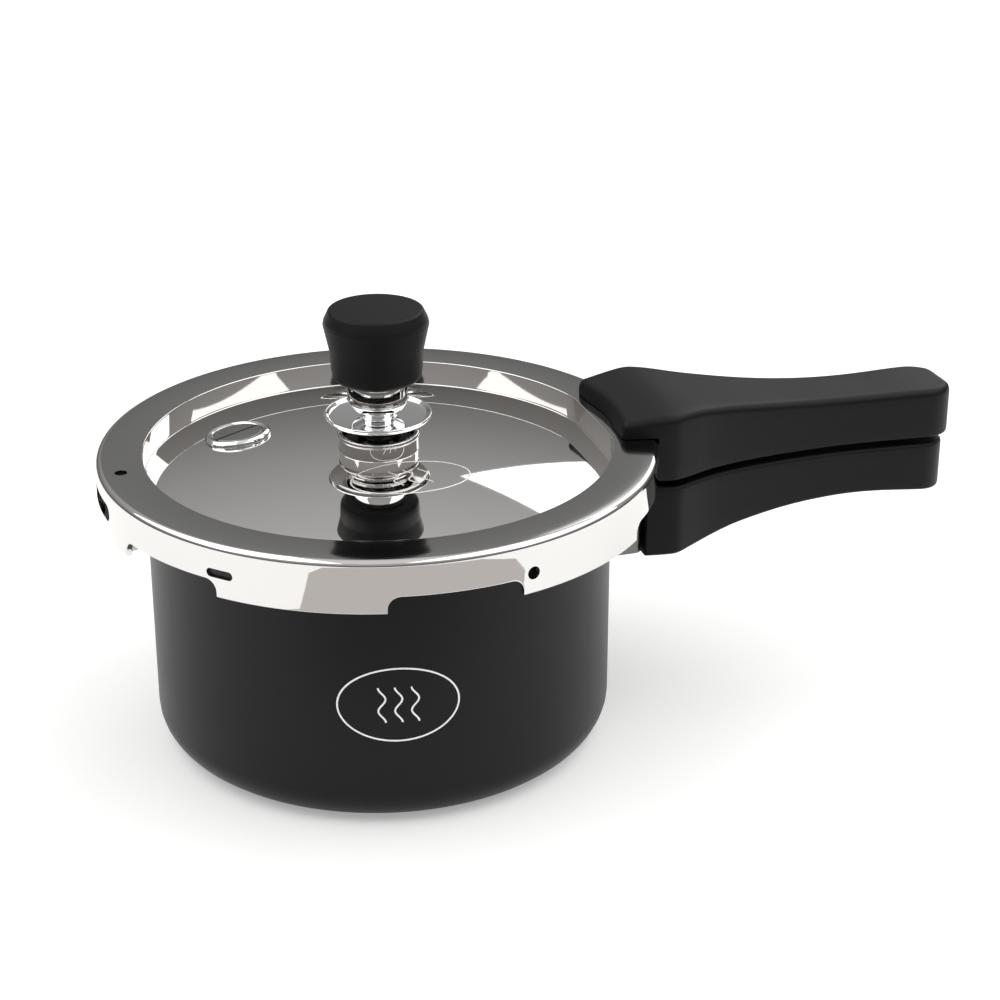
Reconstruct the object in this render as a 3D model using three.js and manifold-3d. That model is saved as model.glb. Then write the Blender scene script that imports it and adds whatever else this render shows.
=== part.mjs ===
// Stovetop pressure cooker with an outer bayonet lid and a dead-weight steam valve.
// Millimetres, +Z up. The origin is the middle of the pot's underside, and both handles
// point along +X. The lid is shut and locked, with its handle over the pot's handle.

import * as THREE from 'three';
import { mergeVertices } from 'three/addons/utils/BufferGeometryUtils.js';
import Module from 'manifold-3d';

const wasm = await Module();
wasm.setup();

// ---------- driving dimensions ----------

const gap = 0.3; // clearance kept between neighbouring pieces
const roundSteps = 60; // facets round the pot and the lid
const smallSteps = 24; // facets round the valve and the plug
const studSteps = 16; // facets round screws and rivets

// Pot
const potRadius = 94.3;
const potWall = 3.2;
const potFloor = 4;
const potCorner = 15; // outside radius between the wall and the floor
const potHeight = 110.1; // from the stove to the sealing land
const flangeReach = 10.7; // the flange beyond the wall, between the tabs
const flangeThickness = 3;

// Bayonet
const lugCount = 6;
const lidLugAngle = 33.4; // degrees, the deep parts of the lid's skirt
const lipAngle = 30; // degrees, the lips bent in under them
const potTabAngle = 27; // degrees, the pot's turned-down tabs
const lipReach = 5.4; // how far a lip reaches in from the skirt
const tabDrop = 5.2; // how far a pot tab hangs from the sealing land
const tabThickness = 3;

// Lid
const rimWidth = 18.9; // from the recess to the lid's edge
const lidSheet = 2.5;
const lidEdge = 4.4; // outside radius between the rim and the skirt
const recessCorner = 5.5; // radius between the recess wall and the floor
const domeRise = 7.8; // the middle of the lid's floor above its edge
const mouthGap = 0.9; // between the lid's floor and the sealing land
const gasketHeight = 9.9;
const skirtStep = 6.7; // how much deeper the skirt is at a lug
const skirtFillet = 5;
const chordDepth = 2.9; // how far the recess wall is flattened under the handle

// Collar and vent
const collarRadius = 16.6;
const collarWall = 2;
const collarTop = 5.3; // above the lid's rim
const ventRadius = 5;
const ventBore = 1.6;

// Weight
const saucerRadius = 21.8;
const saucerHeight = 12; // top of the saucer's flat above the lid's rim
const saucerLip = 1.4; // how far its turned-up edge stands above the flat
const saucerSheet = 1;
const hubRadius = 13.7; // the boss under the saucer
const hubHeight = 5.6;
const neckRadius = 6.3;
const weightRadius = 12.1;
const knobBottomRadius = 15.5;
const knobWaistRadius = 18.3;
const knobTopRadius = 21.2;
const knobHeight = 29.5;

// Safety plug
const plugInset = 31.9; // from the recess wall to the plug's axis
const plugAngle = 143.5; // degrees, from the handle
const plugRadius = 13.7;
const plugStem = 6;

// Handles
const handleReach = 139.5; // from the lid's edge to the handle's tip
const handleOverlap = 15.2; // how far the lid's handle runs in over the rim
const handleHump = 9; // top of the lid's handle above the rim
const partingRoot = 19; // underside of the lid's handle below the rim
const partingTip = 21.2;
const handleParting = 3; // air between the two handles
const lowerOverlap = 8.1; // how far the pot's handle starts inside the lid's edge
const lowerShort = 2; // how much shorter the pot's handle is at the tip
const lowerDepth = 53; // deepest part of the pot's handle below the rim
const tongueHalf = 8; // half width of both bracket tongues

// ---------- levels worked out from them ----------

const potInner = potRadius - potWall;
const flangeRadius = potRadius + flangeReach;
const recessRadius = potRadius + gap;
const lidRadius = recessRadius + rimWidth;
const lidTop = potHeight + gasketHeight + 2 * gap + lidSheet;
const lidInner = lidRadius - lidSheet;
const recessDepth = lidTop - potHeight - lidSheet - mouthGap;
const tabBottom = potHeight - tabDrop;
const lipTop = tabBottom - gap;
const skirtBottom = lipTop - lidSheet;
const skirtShallow = skirtBottom + skirtStep;
const tabRadius = lidInner - 1;
const lipRadius = lidInner - lipReach;
const channelInner = recessRadius + lidSheet;
const lugPitch = 360 / lugCount;
const chordReach = recessRadius - chordDepth;
const plugDistance = recessRadius - plugInset;
const handleTip = lidRadius + handleReach;
const handleRoot = lidRadius - handleOverlap;
const lowerRoot = lidRadius - lowerOverlap;
const lowerTip = handleTip - lowerShort;

// ---------- helpers ----------

const rad = THREE.MathUtils.degToRad;

// A closed three.js geometry as a solid.
function solid(geometry) {
  const bare = geometry.index ? geometry.toNonIndexed() : geometry.clone();
  bare.deleteAttribute('normal');
  bare.deleteAttribute('uv');
  const merged = mergeVertices(bare, 1e-4);
  const mesh = new wasm.Mesh({
    numProp: 3,
    vertProperties: new Float32Array(merged.attributes.position.array),
    triVerts: new Uint32Array(merged.index.array),
  });
  mesh.merge();
  return new wasm.Manifold(mesh);
}

// A solid as a three.js geometry.
function geometryOf(body) {
  const mesh = body.getMesh();
  const geometry = new THREE.BufferGeometry();
  const points = new Float32Array(mesh.numVert * 3);
  for (let i = 0; i < mesh.numVert; i++) {
    points.set(mesh.vertProperties.subarray(i * mesh.numProp, i * mesh.numProp + 3), i * 3);
  }
  geometry.setAttribute('position', new THREE.BufferAttribute(points, 3));
  geometry.setIndex(new THREE.BufferAttribute(new Uint32Array(mesh.triVerts), 1));
  geometry.computeVertexNormals();
  return geometry;
}

// A turned shape about Z, from a list of [radius, height] that runs up the outside.
function turned(points, steps = roundSteps) {
  const outline = points.map(([r, z]) => new THREE.Vector2(r, z));
  const onAxis = points[0][0] === 0 && points[points.length - 1][0] === 0;
  if (!onAxis) {
    outline.push(outline[0].clone());
  }
  return new THREE.LatheGeometry(outline, steps).rotateX(Math.PI / 2);
}

// Points on an arc in the profile plane, angles in degrees.
function arc(r, z, radius, from, to, steps = 4) {
  const points = [];
  for (let i = 0; i <= steps; i++) {
    const angle = rad(from + ((to - from) * i) / steps);
    points.push([r + radius * Math.cos(angle), z + radius * Math.sin(angle)]);
  }
  return points;
}

function box(x0, x1, y0, y1, z0, z1) {
  const shape = new THREE.BoxGeometry(x1 - x0, y1 - y0, z1 - z0);
  return shape.translate((x0 + x1) / 2, (y0 + y1) / 2, (z0 + z1) / 2);
}

function cylinder(radius, z0, z1, steps = studSteps) {
  const shape = new THREE.CylinderGeometry(radius, radius, z1 - z0, steps);
  return shape.rotateX(Math.PI / 2).translate(0, 0, (z0 + z1) / 2);
}

// A flat outline raised from z0 to z1.
function raised(shape, z0, z1, steps = 6) {
  const settings = { depth: z1 - z0, bevelEnabled: false, curveSegments: steps };
  return new THREE.ExtrudeGeometry(shape, settings).translate(0, 0, z0);
}

// A piece of a ring, centred on an angle in degrees.
function sector(inner, outer, width, z0, z1, centre = 0) {
  const shape = new THREE.Shape();
  const from = rad(centre - width / 2);
  const to = rad(centre + width / 2);
  shape.absarc(0, 0, outer, from, to, false);
  shape.absarc(0, 0, inner, to, from, true);
  return raised(shape, z0, z1, 5);
}

// An outline drawn on the unrolled skirt (along the edge, height) and wrapped round the lid.
// It reaches well past both faces of the skirt, because its long faces are chords.
function wrapped(shape, centre) {
  const inner = lidInner - 3;
  const settings = { depth: lidSheet + 9, bevelEnabled: false, curveSegments: 4 };
  const flat = new THREE.ExtrudeGeometry(shape, settings);
  const place = flat.attributes.position;
  for (let i = 0; i < place.count; i++) {
    const radius = inner + place.getZ(i);
    const angle = rad(centre) + place.getX(i) / lidRadius;
    place.setXYZ(i, radius * Math.cos(angle), radius * Math.sin(angle), place.getY(i));
  }
  return flat;
}

// A pin-like piece laid along +X, starting at x.
function alongX(geometry, x, y, z) {
  return geometry.rotateY(Math.PI / 2).translate(x, y, z);
}

function hexagon(acrossFlats, hole) {
  const shape = new THREE.Shape();
  const corner = acrossFlats / 2 / Math.cos(Math.PI / 6);
  shape.moveTo(corner, 0);
  for (let i = 1; i < 6; i++) {
    shape.lineTo(corner * Math.cos((i * Math.PI) / 3), corner * Math.sin((i * Math.PI) / 3));
  }
  shape.closePath();
  const bore = new THREE.Path();
  bore.absarc(0, 0, hole, 0, 2 * Math.PI, true);
  shape.holes.push(bore);
  return shape;
}

const ring = (inner, outer, z0, z1, steps = smallSteps) =>
  turned([[inner, z0], [outer, z0], [outer, z1], [inner, z1]], steps);

const finishes = {
  anodised: { color: 0x2b2b2c, roughness: 0.42, metalness: 0.35 },
  phenolic: { color: 0x1e1e1f, roughness: 0.5, metalness: 0 },
  polished: { color: 0xd9d8d6, roughness: 0.08, metalness: 1 },
  chrome: { color: 0xe6e6e6, roughness: 0.05, metalness: 1 },
  steel: { color: 0x9a9a98, roughness: 0.3, metalness: 1 },
  rubber: { color: 0x141414, roughness: 0.7, metalness: 0 },
  brass: { color: 0xb08d4a, roughness: 0.3, metalness: 1 },
};

function piece(name, shape, finish, parent) {
  const geometry = shape.isBufferGeometry ? shape : geometryOf(shape);
  const mesh = new THREE.Mesh(geometry, new THREE.MeshStandardMaterial(finishes[finish]));
  mesh.name = name;
  parent.add(mesh);
  return mesh;
}

const group = new THREE.Group();

// ---------- pot ----------

const bracketTop = skirtBottom - 3;
const bracketBottom = lidTop - lowerDepth + 1;
const bracketHalf = 27;
const bracketSheet = 2.5;
const bracketFace = lowerRoot - gap;
const potRivetAngle = 9; // degrees from the handle's line
const potRivetHeight = (bracketTop + bracketBottom) / 2;
const rivetRadius = 2.6;

function potShell() {
  const innerCorner = potCorner - potWall;
  const under = potHeight - flangeThickness;
  const profile = [
    [0, 0],
    ...arc(potRadius - potCorner, potCorner, potCorner, -90, 0, 6),
    [potRadius, under - 2],
    [potRadius + 2, under],
    [tabRadius - tabThickness, under],
    [tabRadius - tabThickness, tabBottom],
    [tabRadius, tabBottom],
    [tabRadius, potHeight - 1.5],
    [tabRadius - 1.5, potHeight],
    [potInner + 1.5, potHeight],
    [potInner, potHeight - 1.5],
    ...arc(potInner - innerCorner, potFloor + innerCorner, innerCorner, 0, -90, 5),
    [0, potFloor],
  ];
  let body = solid(turned(profile));
  for (let i = 0; i < lugCount; i++) {
    const middle = (i + 0.5) * lugPitch;
    const width = lugPitch - potTabAngle;
    const notch = sector(flangeRadius, tabRadius + 2, width, tabBottom - 1, potHeight + 1, middle);
    body = body.subtract(solid(notch));
  }
  for (const side of [-1, 1]) {
    body = body.subtract(solid(potRivetHole(side)));
  }
  return body;
}

function potRivetHole(side) {
  const hole = alongX(cylinder(rivetRadius + gap, potInner - 3, potRadius + 5), 0, 0, 0);
  return hole.rotateZ(rad(side * potRivetAngle)).translate(0, 0, potRivetHeight);
}

function potRivet(side) {
  const head = 5;
  const tail = 4.2;
  const inside = potInner - 2 * gap;
  const outside = potRadius + bracketSheet + 2 * gap;
  const profile = [
    [0, inside - 1.8],
    [head - 1.2, inside - 1.8],
    [head, inside - 0.6],
    [head, inside],
    [rivetRadius, inside],
    [rivetRadius, outside],
    [tail, outside],
    [tail, outside + 0.8],
    [0, outside + 1.4],
  ];
  const shape = alongX(turned(profile, studSteps), 0, 0, 0);
  return shape.rotateZ(rad(side * potRivetAngle)).translate(0, 0, potRivetHeight);
}

const lowerTongueTop = bracketTop - 5;
const lowerTongueBottom = lowerTongueTop - 14;
const lowerTongueEnd = lowerRoot + 44.6;
const lowerScrewPlace = lowerRoot + 28.6;
const screwRadius = 2.5;
const bracketBack = potRadius - 34; // inside the pot's wall, cut away by its curve

function potBracket() {
  const z0 = bracketBottom;
  const z1 = bracketTop;
  const half = bracketHalf - bracketSheet;
  const seat = potRadius + gap;
  const hollow = solid(
    box(bracketBack, bracketFace - bracketSheet, -half, half, z0 + bracketSheet, z1 + 1),
  )
    .subtract(solid(cylinder(seat + bracketSheet, z0 - 1, z1 + 2, roundSteps)));
  const back = solid(cylinder(seat, z0 - 1, z1 + 1, roundSteps));
  const tongue = box(
    bracketFace - 1, lowerTongueEnd, -tongueHalf, tongueHalf, lowerTongueBottom, lowerTongueTop,
  );
  const screwHole = cylinder(screwRadius + gap, lowerTongueBottom - 1, lowerTongueTop - 2)
    .translate(lowerScrewPlace, 0, 0);
  let body = solid(box(bracketBack, bracketFace, -bracketHalf, bracketHalf, z0, z1))
    .subtract(back)
    .subtract(hollow)
    .add(solid(tongue))
    .subtract(solid(screwHole));
  for (const side of [-1, 1]) {
    body = body.subtract(solid(potRivetHole(side)));
  }
  return body;
}

// ---------- lid ----------

const floorEdgeRadius = recessRadius - recessCorner;
const floorEdge = lidTop - recessDepth;

// Height of the lid's domed floor at a distance from the axis.
function domeHeight(radius) {
  return floorEdge + domeRise * (1 - (radius / floorEdgeRadius) ** 2);
}

const collarFloor = domeHeight(collarRadius) - 0.8;
const ventHole = ventRadius + gap;
const plugSlope = Math.atan((2 * domeRise * plugDistance) / floorEdgeRadius ** 2);
const lidRivetSpread = tongueHalf + 4.85; // each rivet to the side of the handle's line
const lidPlateHalf = lidRivetSpread + 4.95; // half width of the bracket's plate
const lidRivetAngle = THREE.MathUtils.radToDeg(Math.asin(lidRivetSpread / lidRadius));
const lidPlateAngle = 2 * THREE.MathUtils.radToDeg(Math.asin(lidPlateHalf / lidRadius));
const lidBracketTop = lidTop - lidEdge - 0.4;
const lidBracketBottom = lidTop - partingRoot + 2.5;
const lidRivetHeight = (lidBracketTop + lidBracketBottom) / 2;
const lidRivetRadius = 2;

function lidRivetHole(side) {
  const hole = alongX(cylinder(lidRivetRadius + gap, lidInner - 2, lidRadius + 5), 0, 0, 0);
  return hole.rotateZ(rad(side * lidRivetAngle)).translate(0, 0, lidRivetHeight);
}

function lidRivet(side) {
  const outside = lidRadius + bracketSheet + 2 * gap;
  const head = 3.6;
  const profile = [
    [0, lidInner + gap],
    [lidRivetRadius, lidInner + gap],
    [lidRivetRadius, outside],
    [head, outside],
    [head, outside + 0.7],
    [head - 1, outside + 1.5],
    [0, outside + 1.5],
  ];
  const shape = alongX(turned(profile, studSteps), 0, 0, 0);
  return shape.rotateZ(rad(side * lidRivetAngle)).translate(0, 0, lidRivetHeight);
}

function lidSheetBody() {
  const corner = recessCorner;
  const dome = [];
  const domeSteps = 4;
  const domeStart = collarRadius + 1.5;
  for (let i = 0; i < domeSteps; i++) {
    const radius = domeStart + ((floorEdgeRadius - domeStart) * i) / domeSteps;
    dome.push([radius, domeHeight(radius)]);
  }
  const under = dome.map(([r, z]) => [r, z - lidSheet]).reverse();
  const edge = lidEdge - lidSheet;
  const profile = [
    [ventHole, collarFloor],
    [collarRadius - collarWall, collarFloor],
    [collarRadius - collarWall, lidTop + collarTop],
    [collarRadius - 0.6, lidTop + collarTop],
    [collarRadius, lidTop + collarTop - 0.8],
    [collarRadius - 0.7, lidTop + collarTop - 3],
    ...dome,
    ...arc(floorEdgeRadius, floorEdge + corner, corner, -90, 0, 3),
    [recessRadius, lidTop],
    ...arc(lidRadius - lidEdge, lidTop - lidEdge, lidEdge, 90, 0, 3),
    [lidRadius, skirtBottom],
    [lidInner, skirtBottom],
    ...arc(lidInner - edge, lidTop - lidEdge, edge, 0, 90, 2),
    [channelInner, lidTop - lidSheet],
    [channelInner, floorEdge + 1],
    [channelInner - 3.5, floorEdge - lidSheet],
    ...under,
    [ventHole, collarFloor - lidSheet],
  ];
  return solid(turned(profile.reverse()));
}

// The shallow stretch of skirt between two lugs, with filleted corners.
function skirtNotch() {
  const half = (rad(lugPitch - lidLugAngle) * lidRadius) / 2;
  const low = skirtBottom - 5;
  const shape = new THREE.Shape();
  shape.moveTo(-half, low);
  shape.lineTo(half, low);
  shape.lineTo(half, skirtShallow - skirtFillet);
  shape.absarc(half - skirtFillet, skirtShallow - skirtFillet, skirtFillet, 0, Math.PI / 2);
  shape.absarc(skirtFillet - half, skirtShallow - skirtFillet, skirtFillet, Math.PI / 2, Math.PI);
  return shape;
}

function slotShape({ length, height, level }) {
  const shape = new THREE.Shape();
  const z = lidTop - level;
  const radius = height / 2;
  const straight = length / 2 - radius;
  shape.absarc(straight, z, radius, -Math.PI / 2, Math.PI / 2);
  shape.absarc(-straight, z, radius, Math.PI / 2, (3 * Math.PI) / 2);
  return shape;
}

// Openings through the skirt, with angles from the handle and levels below the rim.
const windowHole = { angle: 180, length: 34, height: 7, level: 10 };
const slitHole = { angle: -135.9, length: 11.5, height: 3.5, level: 11.3 };
const pinHole = { angle: -74.6, radius: 2.6, level: 12.8 };
const rimHoleRadius = 2.5;
const rimHoleInset = 9.1; // from the lid's edge

function lidShell() {
  let body = lidSheetBody();
  for (let i = 0; i < lugCount; i++) {
    const middle = (i + 0.5) * lugPitch;
    body = body.subtract(solid(wrapped(skirtNotch(), middle)));
    const lip = sector(lipRadius, lidInner + 1, lipAngle, skirtBottom, lipTop, i * lugPitch);
    body = body.add(solid(lip));
  }
  const recessFlat = new THREE.Shape();
  const spread = Math.acos(chordReach / (recessRadius + 1));
  recessFlat.absarc(0, 0, recessRadius + 1, -spread, spread, false);
  body = body.add(solid(raised(recessFlat, floorEdge + 0.5, lidTop, 5)));
  const pin = new THREE.Shape();
  pin.absarc(0, lidTop - pinHole.level, pinHole.radius, 0, 2 * Math.PI);
  body = body.subtract(solid(wrapped(slotShape(windowHole), windowHole.angle)));
  body = body.subtract(solid(wrapped(slotShape(slitHole), slitHole.angle)));
  body = body.subtract(solid(wrapped(pin, pinHole.angle)));
  const rimHole = cylinder(rimHoleRadius, lidTop - lidSheet - 1, lidTop + 1);
  body = body.subtract(solid(rimHole.translate(rimHoleInset - lidRadius, 0, 0)));
  body = body.subtract(solid(plugPlace(cylinder(plugStem + gap, -lidSheet - 3, 3, smallSteps))));
  for (const side of [-1, 1]) {
    body = body.subtract(solid(lidRivetHole(side)));
  }
  return body;
}

function gasketRing() {
  const inner = channelInner + gap;
  const outer = lidInner - gap;
  const bottom = potHeight + gap;
  const top = bottom + gasketHeight;
  const lip = 2.6;
  return turned([
    [inner, bottom],
    [outer - 1.5, bottom],
    [outer, bottom + 1.5],
    [outer, top - 2.2],
    [outer - 2.2, top],
    [inner, top],
    [inner, top - lip],
    [outer - lip - 1.5, top - lip - 0.8],
    [outer - lip - 1.5, bottom + lip + 0.8],
    [inner, bottom + lip],
  ]);
}

// ---------- vent, safety plug ----------

function ventTube() {
  const top = lidTop + 15;
  const flange = 8;
  return turned([
    [ventBore, collarFloor - 8.5],
    [ventRadius, collarFloor - 8.5],
    [ventRadius, collarFloor + gap],
    [flange, collarFloor + gap],
    [flange, collarFloor + 2.2],
    [neckRadius - 1.8, collarFloor + 2.2],
    [neckRadius - 1.8, top - 1],
    [neckRadius - 2.6, top],
    [ventBore, top],
  ], smallSteps);
}

// Moves a shape made round +Z to the safety plug's seat on the dome.
function plugPlace(shape) {
  return shape
    .rotateY(plugSlope)
    .translate(plugDistance, 0, domeHeight(plugDistance))
    .rotateZ(rad(plugAngle));
}

const plugDisc = 9;

function plugBody() {
  return plugPlace(turned([
    [3.3, -9.5],
    [plugStem, -9.5],
    [plugStem, gap + 0.3],
    [plugRadius, gap + 0.3],
    [plugRadius, 1.2],
    [plugRadius - 1.2, 2.6],
    [plugRadius - 2.2, 2.6],
    [plugDisc + gap, 1.6],
    [plugDisc + gap, 1],
    [3.3, 1],
  ], smallSteps));
}

function plugCore() {
  const core = solid(turned([
    [0, -9],
    [3, -9],
    [3, 1 + gap],
    [plugDisc, 1 + gap],
    [plugDisc, 2.4],
    [0, 2.4],
  ], smallSteps));
  const slot = solid(box(-plugDisc * 2, plugDisc * 2, -0.6, 0.6, 1.9, 4).rotateZ(rad(38)));
  return plugPlace(geometryOf(core.subtract(slot)));
}

// ---------- weight ----------

const saucerLevel = lidTop + saucerHeight;
const shoulderBottom = saucerLevel + 2.3;
const shoulderTop = shoulderBottom + 4;
const knobBottom = shoulderTop + 9;
const weightBore = neckRadius - 1.4;
const weightBoreTop = lidTop + 17;
const spigotRadius = 8;
const spigotTop = knobBottom + 12.7;
const insertRadius = 11;

function weightBody() {
  return turned([
    [0, weightBoreTop],
    [weightBore, weightBoreTop],
    [weightBore, lidTop + 3],
    [neckRadius, lidTop + 3],
    [neckRadius, shoulderBottom],
    [weightRadius - 1.8, shoulderBottom + 1.6],
    [weightRadius, shoulderTop],
    [weightRadius, knobBottom],
    [spigotRadius, knobBottom],
    [spigotRadius, spigotTop],
    [0, spigotTop],
  ], smallSteps);
}

function weightSaucer() {
  const inner = neckRadius + gap;
  const hubBottom = saucerLevel - hubHeight;
  const under = saucerLevel - saucerSheet;
  return turned([
    [inner, hubBottom],
    [hubRadius - 1.5, hubBottom],
    [hubRadius, hubBottom + 2],
    [hubRadius, under],
    [saucerRadius - 1.2, under],
    [saucerRadius, saucerLevel + saucerLip - 0.6],
    [saucerRadius, saucerLevel + saucerLip],
    [saucerRadius - 1, saucerLevel + saucerLip],
    [saucerRadius - 2.4, saucerLevel],
    [inner, saucerLevel],
  ], smallSteps);
}

function weightKnob() {
  const top = knobBottom + gap + knobHeight;
  const hollow = insertRadius + gap;
  const hollowTop = spigotTop + gap;
  return turned([
    [0, hollowTop],
    [hollow, hollowTop],
    [hollow, knobBottom + gap],
    [knobBottomRadius, knobBottom + gap],
    [knobWaistRadius - 0.8, knobBottom + 1.2],
    [knobWaistRadius, knobBottom + 3],
    [knobWaistRadius + 0.6, knobBottom + 13],
    [knobTopRadius, knobBottom + 23.5],
    [knobTopRadius - 0.4, knobBottom + 25.5],
    [knobTopRadius - 2.4, top],
    [0, top],
  ], 40);
}

// ---------- handles ----------

// Half width of both handles, at distances from the lid's edge.
const handlePlan = [
  [-5.5, 29.2], [3, 32.1], [6.5, 32.1], [19.5, 25.6], [33.5, 21.4],
  [47.5, 18.7], [66.5, 16.3], [83.5, 15.3], [101.5, 15.4], [122.5, 16.4],
];
const handleCorner = 13; // round the tip, seen from above

// Top of the lid's handle above the rim, and underside of the pot's handle below it.
const handleTopLine = [
  [-23.5, 5.9], [-15.2, 6.8], [-5.5, handleHump - 1], [5.5, handleHump], [19.5, handleHump - 1.2],
  [33.5, 6], [47.5, 4.2], [67.5, 2.2], [86.5, 1.1], [105.5, 0.7], [122.5, 0.7],
  [handleReach + 2, 0.2],
];
const handleUnderLine = [
  [-18.5, -lowerDepth], [-1.5, -lowerDepth], [8.5, 0.8 - lowerDepth], [20.5, -50.6], [33.5, -48.2],
  [46.5, -46.4], [61.5, -44.8], [76.5, -43.9], [91.5, -43.6], [106.5, -44.2], [123.5, -45.6],
  [handleReach, -46.8],
];

function planShape(start, startHalf, tip, slim) {
  const half = handlePlan.map(([x, y]) => new THREE.Vector2(lidRadius + x, y - slim));
  const curve = new THREE.SplineCurve(half).getPoints(28);
  const endHalf = handlePlan[handlePlan.length - 1][1] - slim;
  const shape = new THREE.Shape();
  shape.moveTo(start, -startHalf);
  curve.forEach((p) => shape.lineTo(p.x, -p.y));
  shape.lineTo(tip - handleCorner, -endHalf);
  shape.absarc(tip - handleCorner, handleCorner - endHalf, handleCorner, -Math.PI / 2, 0);
  shape.absarc(tip - handleCorner, endHalf - handleCorner, handleCorner, 0, Math.PI / 2);
  curve.reverse().forEach((p) => shape.lineTo(p.x, p.y));
  shape.lineTo(start, startHalf);
  return shape;
}

// A side outline in X and Z, wider than the widest part of the handle. Each line is a list
// of places from the lid's edge and the rim.
function sideSolid(top, bottom) {
  const edge = (line) => {
    const places = line.map(([x, z]) => new THREE.Vector2(lidRadius + x, lidTop + z));
    return new THREE.SplineCurve(places).getPoints(20);
  };
  const points = [...edge(top), ...edge(bottom).reverse()];
  const half = 40;
  const shape = new THREE.Shape(points.reverse());
  return solid(raised(shape, -half, half).rotateX(Math.PI / 2));
}

const tongueTop = lidTop - 6.5;
const tongueBottom = tongueTop - 7;
const tongueEnd = lidRadius + 44.5;
const lidScrewPlace = lidRadius + 26.5;

// The straight line between the two handles, dropped by some air.
function partingLine(drop) {
  const slope = (partingTip - partingRoot) / handleReach;
  return [-25, handleReach + 2].map((x) => [x, -partingRoot - slope * x - drop]);
}

function lidHandle() {
  const startHalf = 24;
  const start = Math.sqrt(handleRoot ** 2 - startHalf ** 2);
  const clearance = cylinder(lidRadius + gap, lidTop - 40, lidTop + gap, roundSteps);
  const rootCut = cylinder(handleRoot, lidTop - 1, lidTop + 30, roundSteps);
  const pocketDepth = lidRadius + bracketSheet + 3;
  const pocketHalf = (lidRadius + gap + bracketSheet) * Math.sin(rad(lidPlateAngle / 2)) + 0.8;
  const platePocket = box(
    lidRadius - 4, pocketDepth, -pocketHalf, pocketHalf,
    lidBracketBottom - gap, lidBracketTop + gap,
  );
  const tonguePocket = box(
    lidRadius, tongueEnd + gap, -tongueHalf - gap, tongueHalf + gap,
    tongueBottom - gap, tongueTop + gap,
  );
  const screwHole = cylinder(screwRadius + gap, lidTop - 30, tongueBottom);
  const screwSeat = cylinder(lidScrewHead + 0.8, lidTop - 30, lidSeatLevel);
  return solid(raised(planShape(start, startHalf, handleTip, 0), lidTop - 30, lidTop + 20, 5))
    .intersect(sideSolid(handleTopLine, partingLine(0)))
    .subtract(solid(clearance))
    .subtract(solid(rootCut))
    .subtract(solid(platePocket))
    .subtract(solid(tonguePocket))
    .subtract(solid(screwHole.translate(lidScrewPlace, 0, 0)))
    .subtract(solid(screwSeat.translate(lidScrewPlace, 0, 0)));
}

function lidBracket() {
  const seat = lidRadius + gap;
  const plate = sector(
    seat, seat + bracketSheet, lidPlateAngle, lidBracketBottom, lidBracketTop,
  );
  const tongue = box(seat + 1.5, tongueEnd, -tongueHalf, tongueHalf, tongueBottom, tongueTop);
  const hole = cylinder(screwRadius + gap, tongueBottom - 1, tongueTop - 1.5);
  let body = solid(plate)
    .add(solid(tongue))
    .subtract(solid(hole.translate(lidScrewPlace, 0, 0)));
  for (const side of [-1, 1]) {
    body = body.subtract(solid(lidRivetHole(side)));
  }
  return body;
}

const lidScrewHead = 4.4;
const lidSeatLevel = lidTop - 16.6;

function screw(head, headHeight, seat, tip, place) {
  return turned([
    [0, seat - gap - headHeight],
    [head - 0.8, seat - gap - headHeight],
    [head, seat - gap - headHeight + 0.8],
    [head, seat - gap],
    [screwRadius, seat - gap],
    [screwRadius, tip],
    [0, tip],
  ], studSteps).translate(place, 0, 0);
}

const potScrewHead = 4.6;
const potSeatLevel = lowerTongueBottom - 3;
const washerThickness = 1.1;

function potHandle() {
  const startHalf = 26.6;
  const slim = 0.4;
  const underSkirt = cylinder(lidRadius + 1.2, skirtBottom - 0.8, lidTop, roundSteps);
  const tonguePocket = box(
    lowerRoot - 1, lowerTongueEnd + gap, -tongueHalf - gap, tongueHalf + gap,
    lowerTongueBottom - gap, lowerTongueTop + gap,
  );
  const screwHole = cylinder(screwRadius + gap, lidTop - 70, lowerTongueBottom);
  const screwSeat = cylinder(potScrewHead + 1.2, lidTop - 70, potSeatLevel);
  return solid(raised(planShape(lowerRoot, startHalf, lowerTip, slim), lidTop - 70, lidTop, 5))
    .intersect(sideSolid(partingLine(handleParting), handleUnderLine))
    .subtract(solid(underSkirt))
    .subtract(solid(tonguePocket))
    .subtract(solid(screwHole.translate(lowerScrewPlace, 0, 0)))
    .subtract(solid(screwSeat.translate(lowerScrewPlace, 0, 0)));
}

// ---------- assembly ----------

const pot = new THREE.Group();
const lid = new THREE.Group();
const weight = new THREE.Group();
group.add(pot, lid, weight);

piece('pot_shell', potShell(), 'anodised', pot);
piece('pot_bracket', potBracket(), 'steel', pot);
piece('pot_bracket_rivet_1', potRivet(-1), 'steel', pot);
piece('pot_bracket_rivet_2', potRivet(1), 'steel', pot);
piece('pot_handle', potHandle(), 'phenolic', pot);
const washerTop = potSeatLevel - gap;
const washer = ring(screwRadius + gap, potScrewHead, washerTop - washerThickness, washerTop, studSteps);
piece('pot_handle_washer', washer.translate(lowerScrewPlace, 0, 0), 'steel', pot);
const potScrew = screw(
  potScrewHead, 2.4, washerTop - washerThickness, lowerTongueTop - 3, lowerScrewPlace,
);
piece('pot_handle_screw', potScrew, 'steel', pot);

piece('gasket', gasketRing(), 'rubber', lid);

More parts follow.
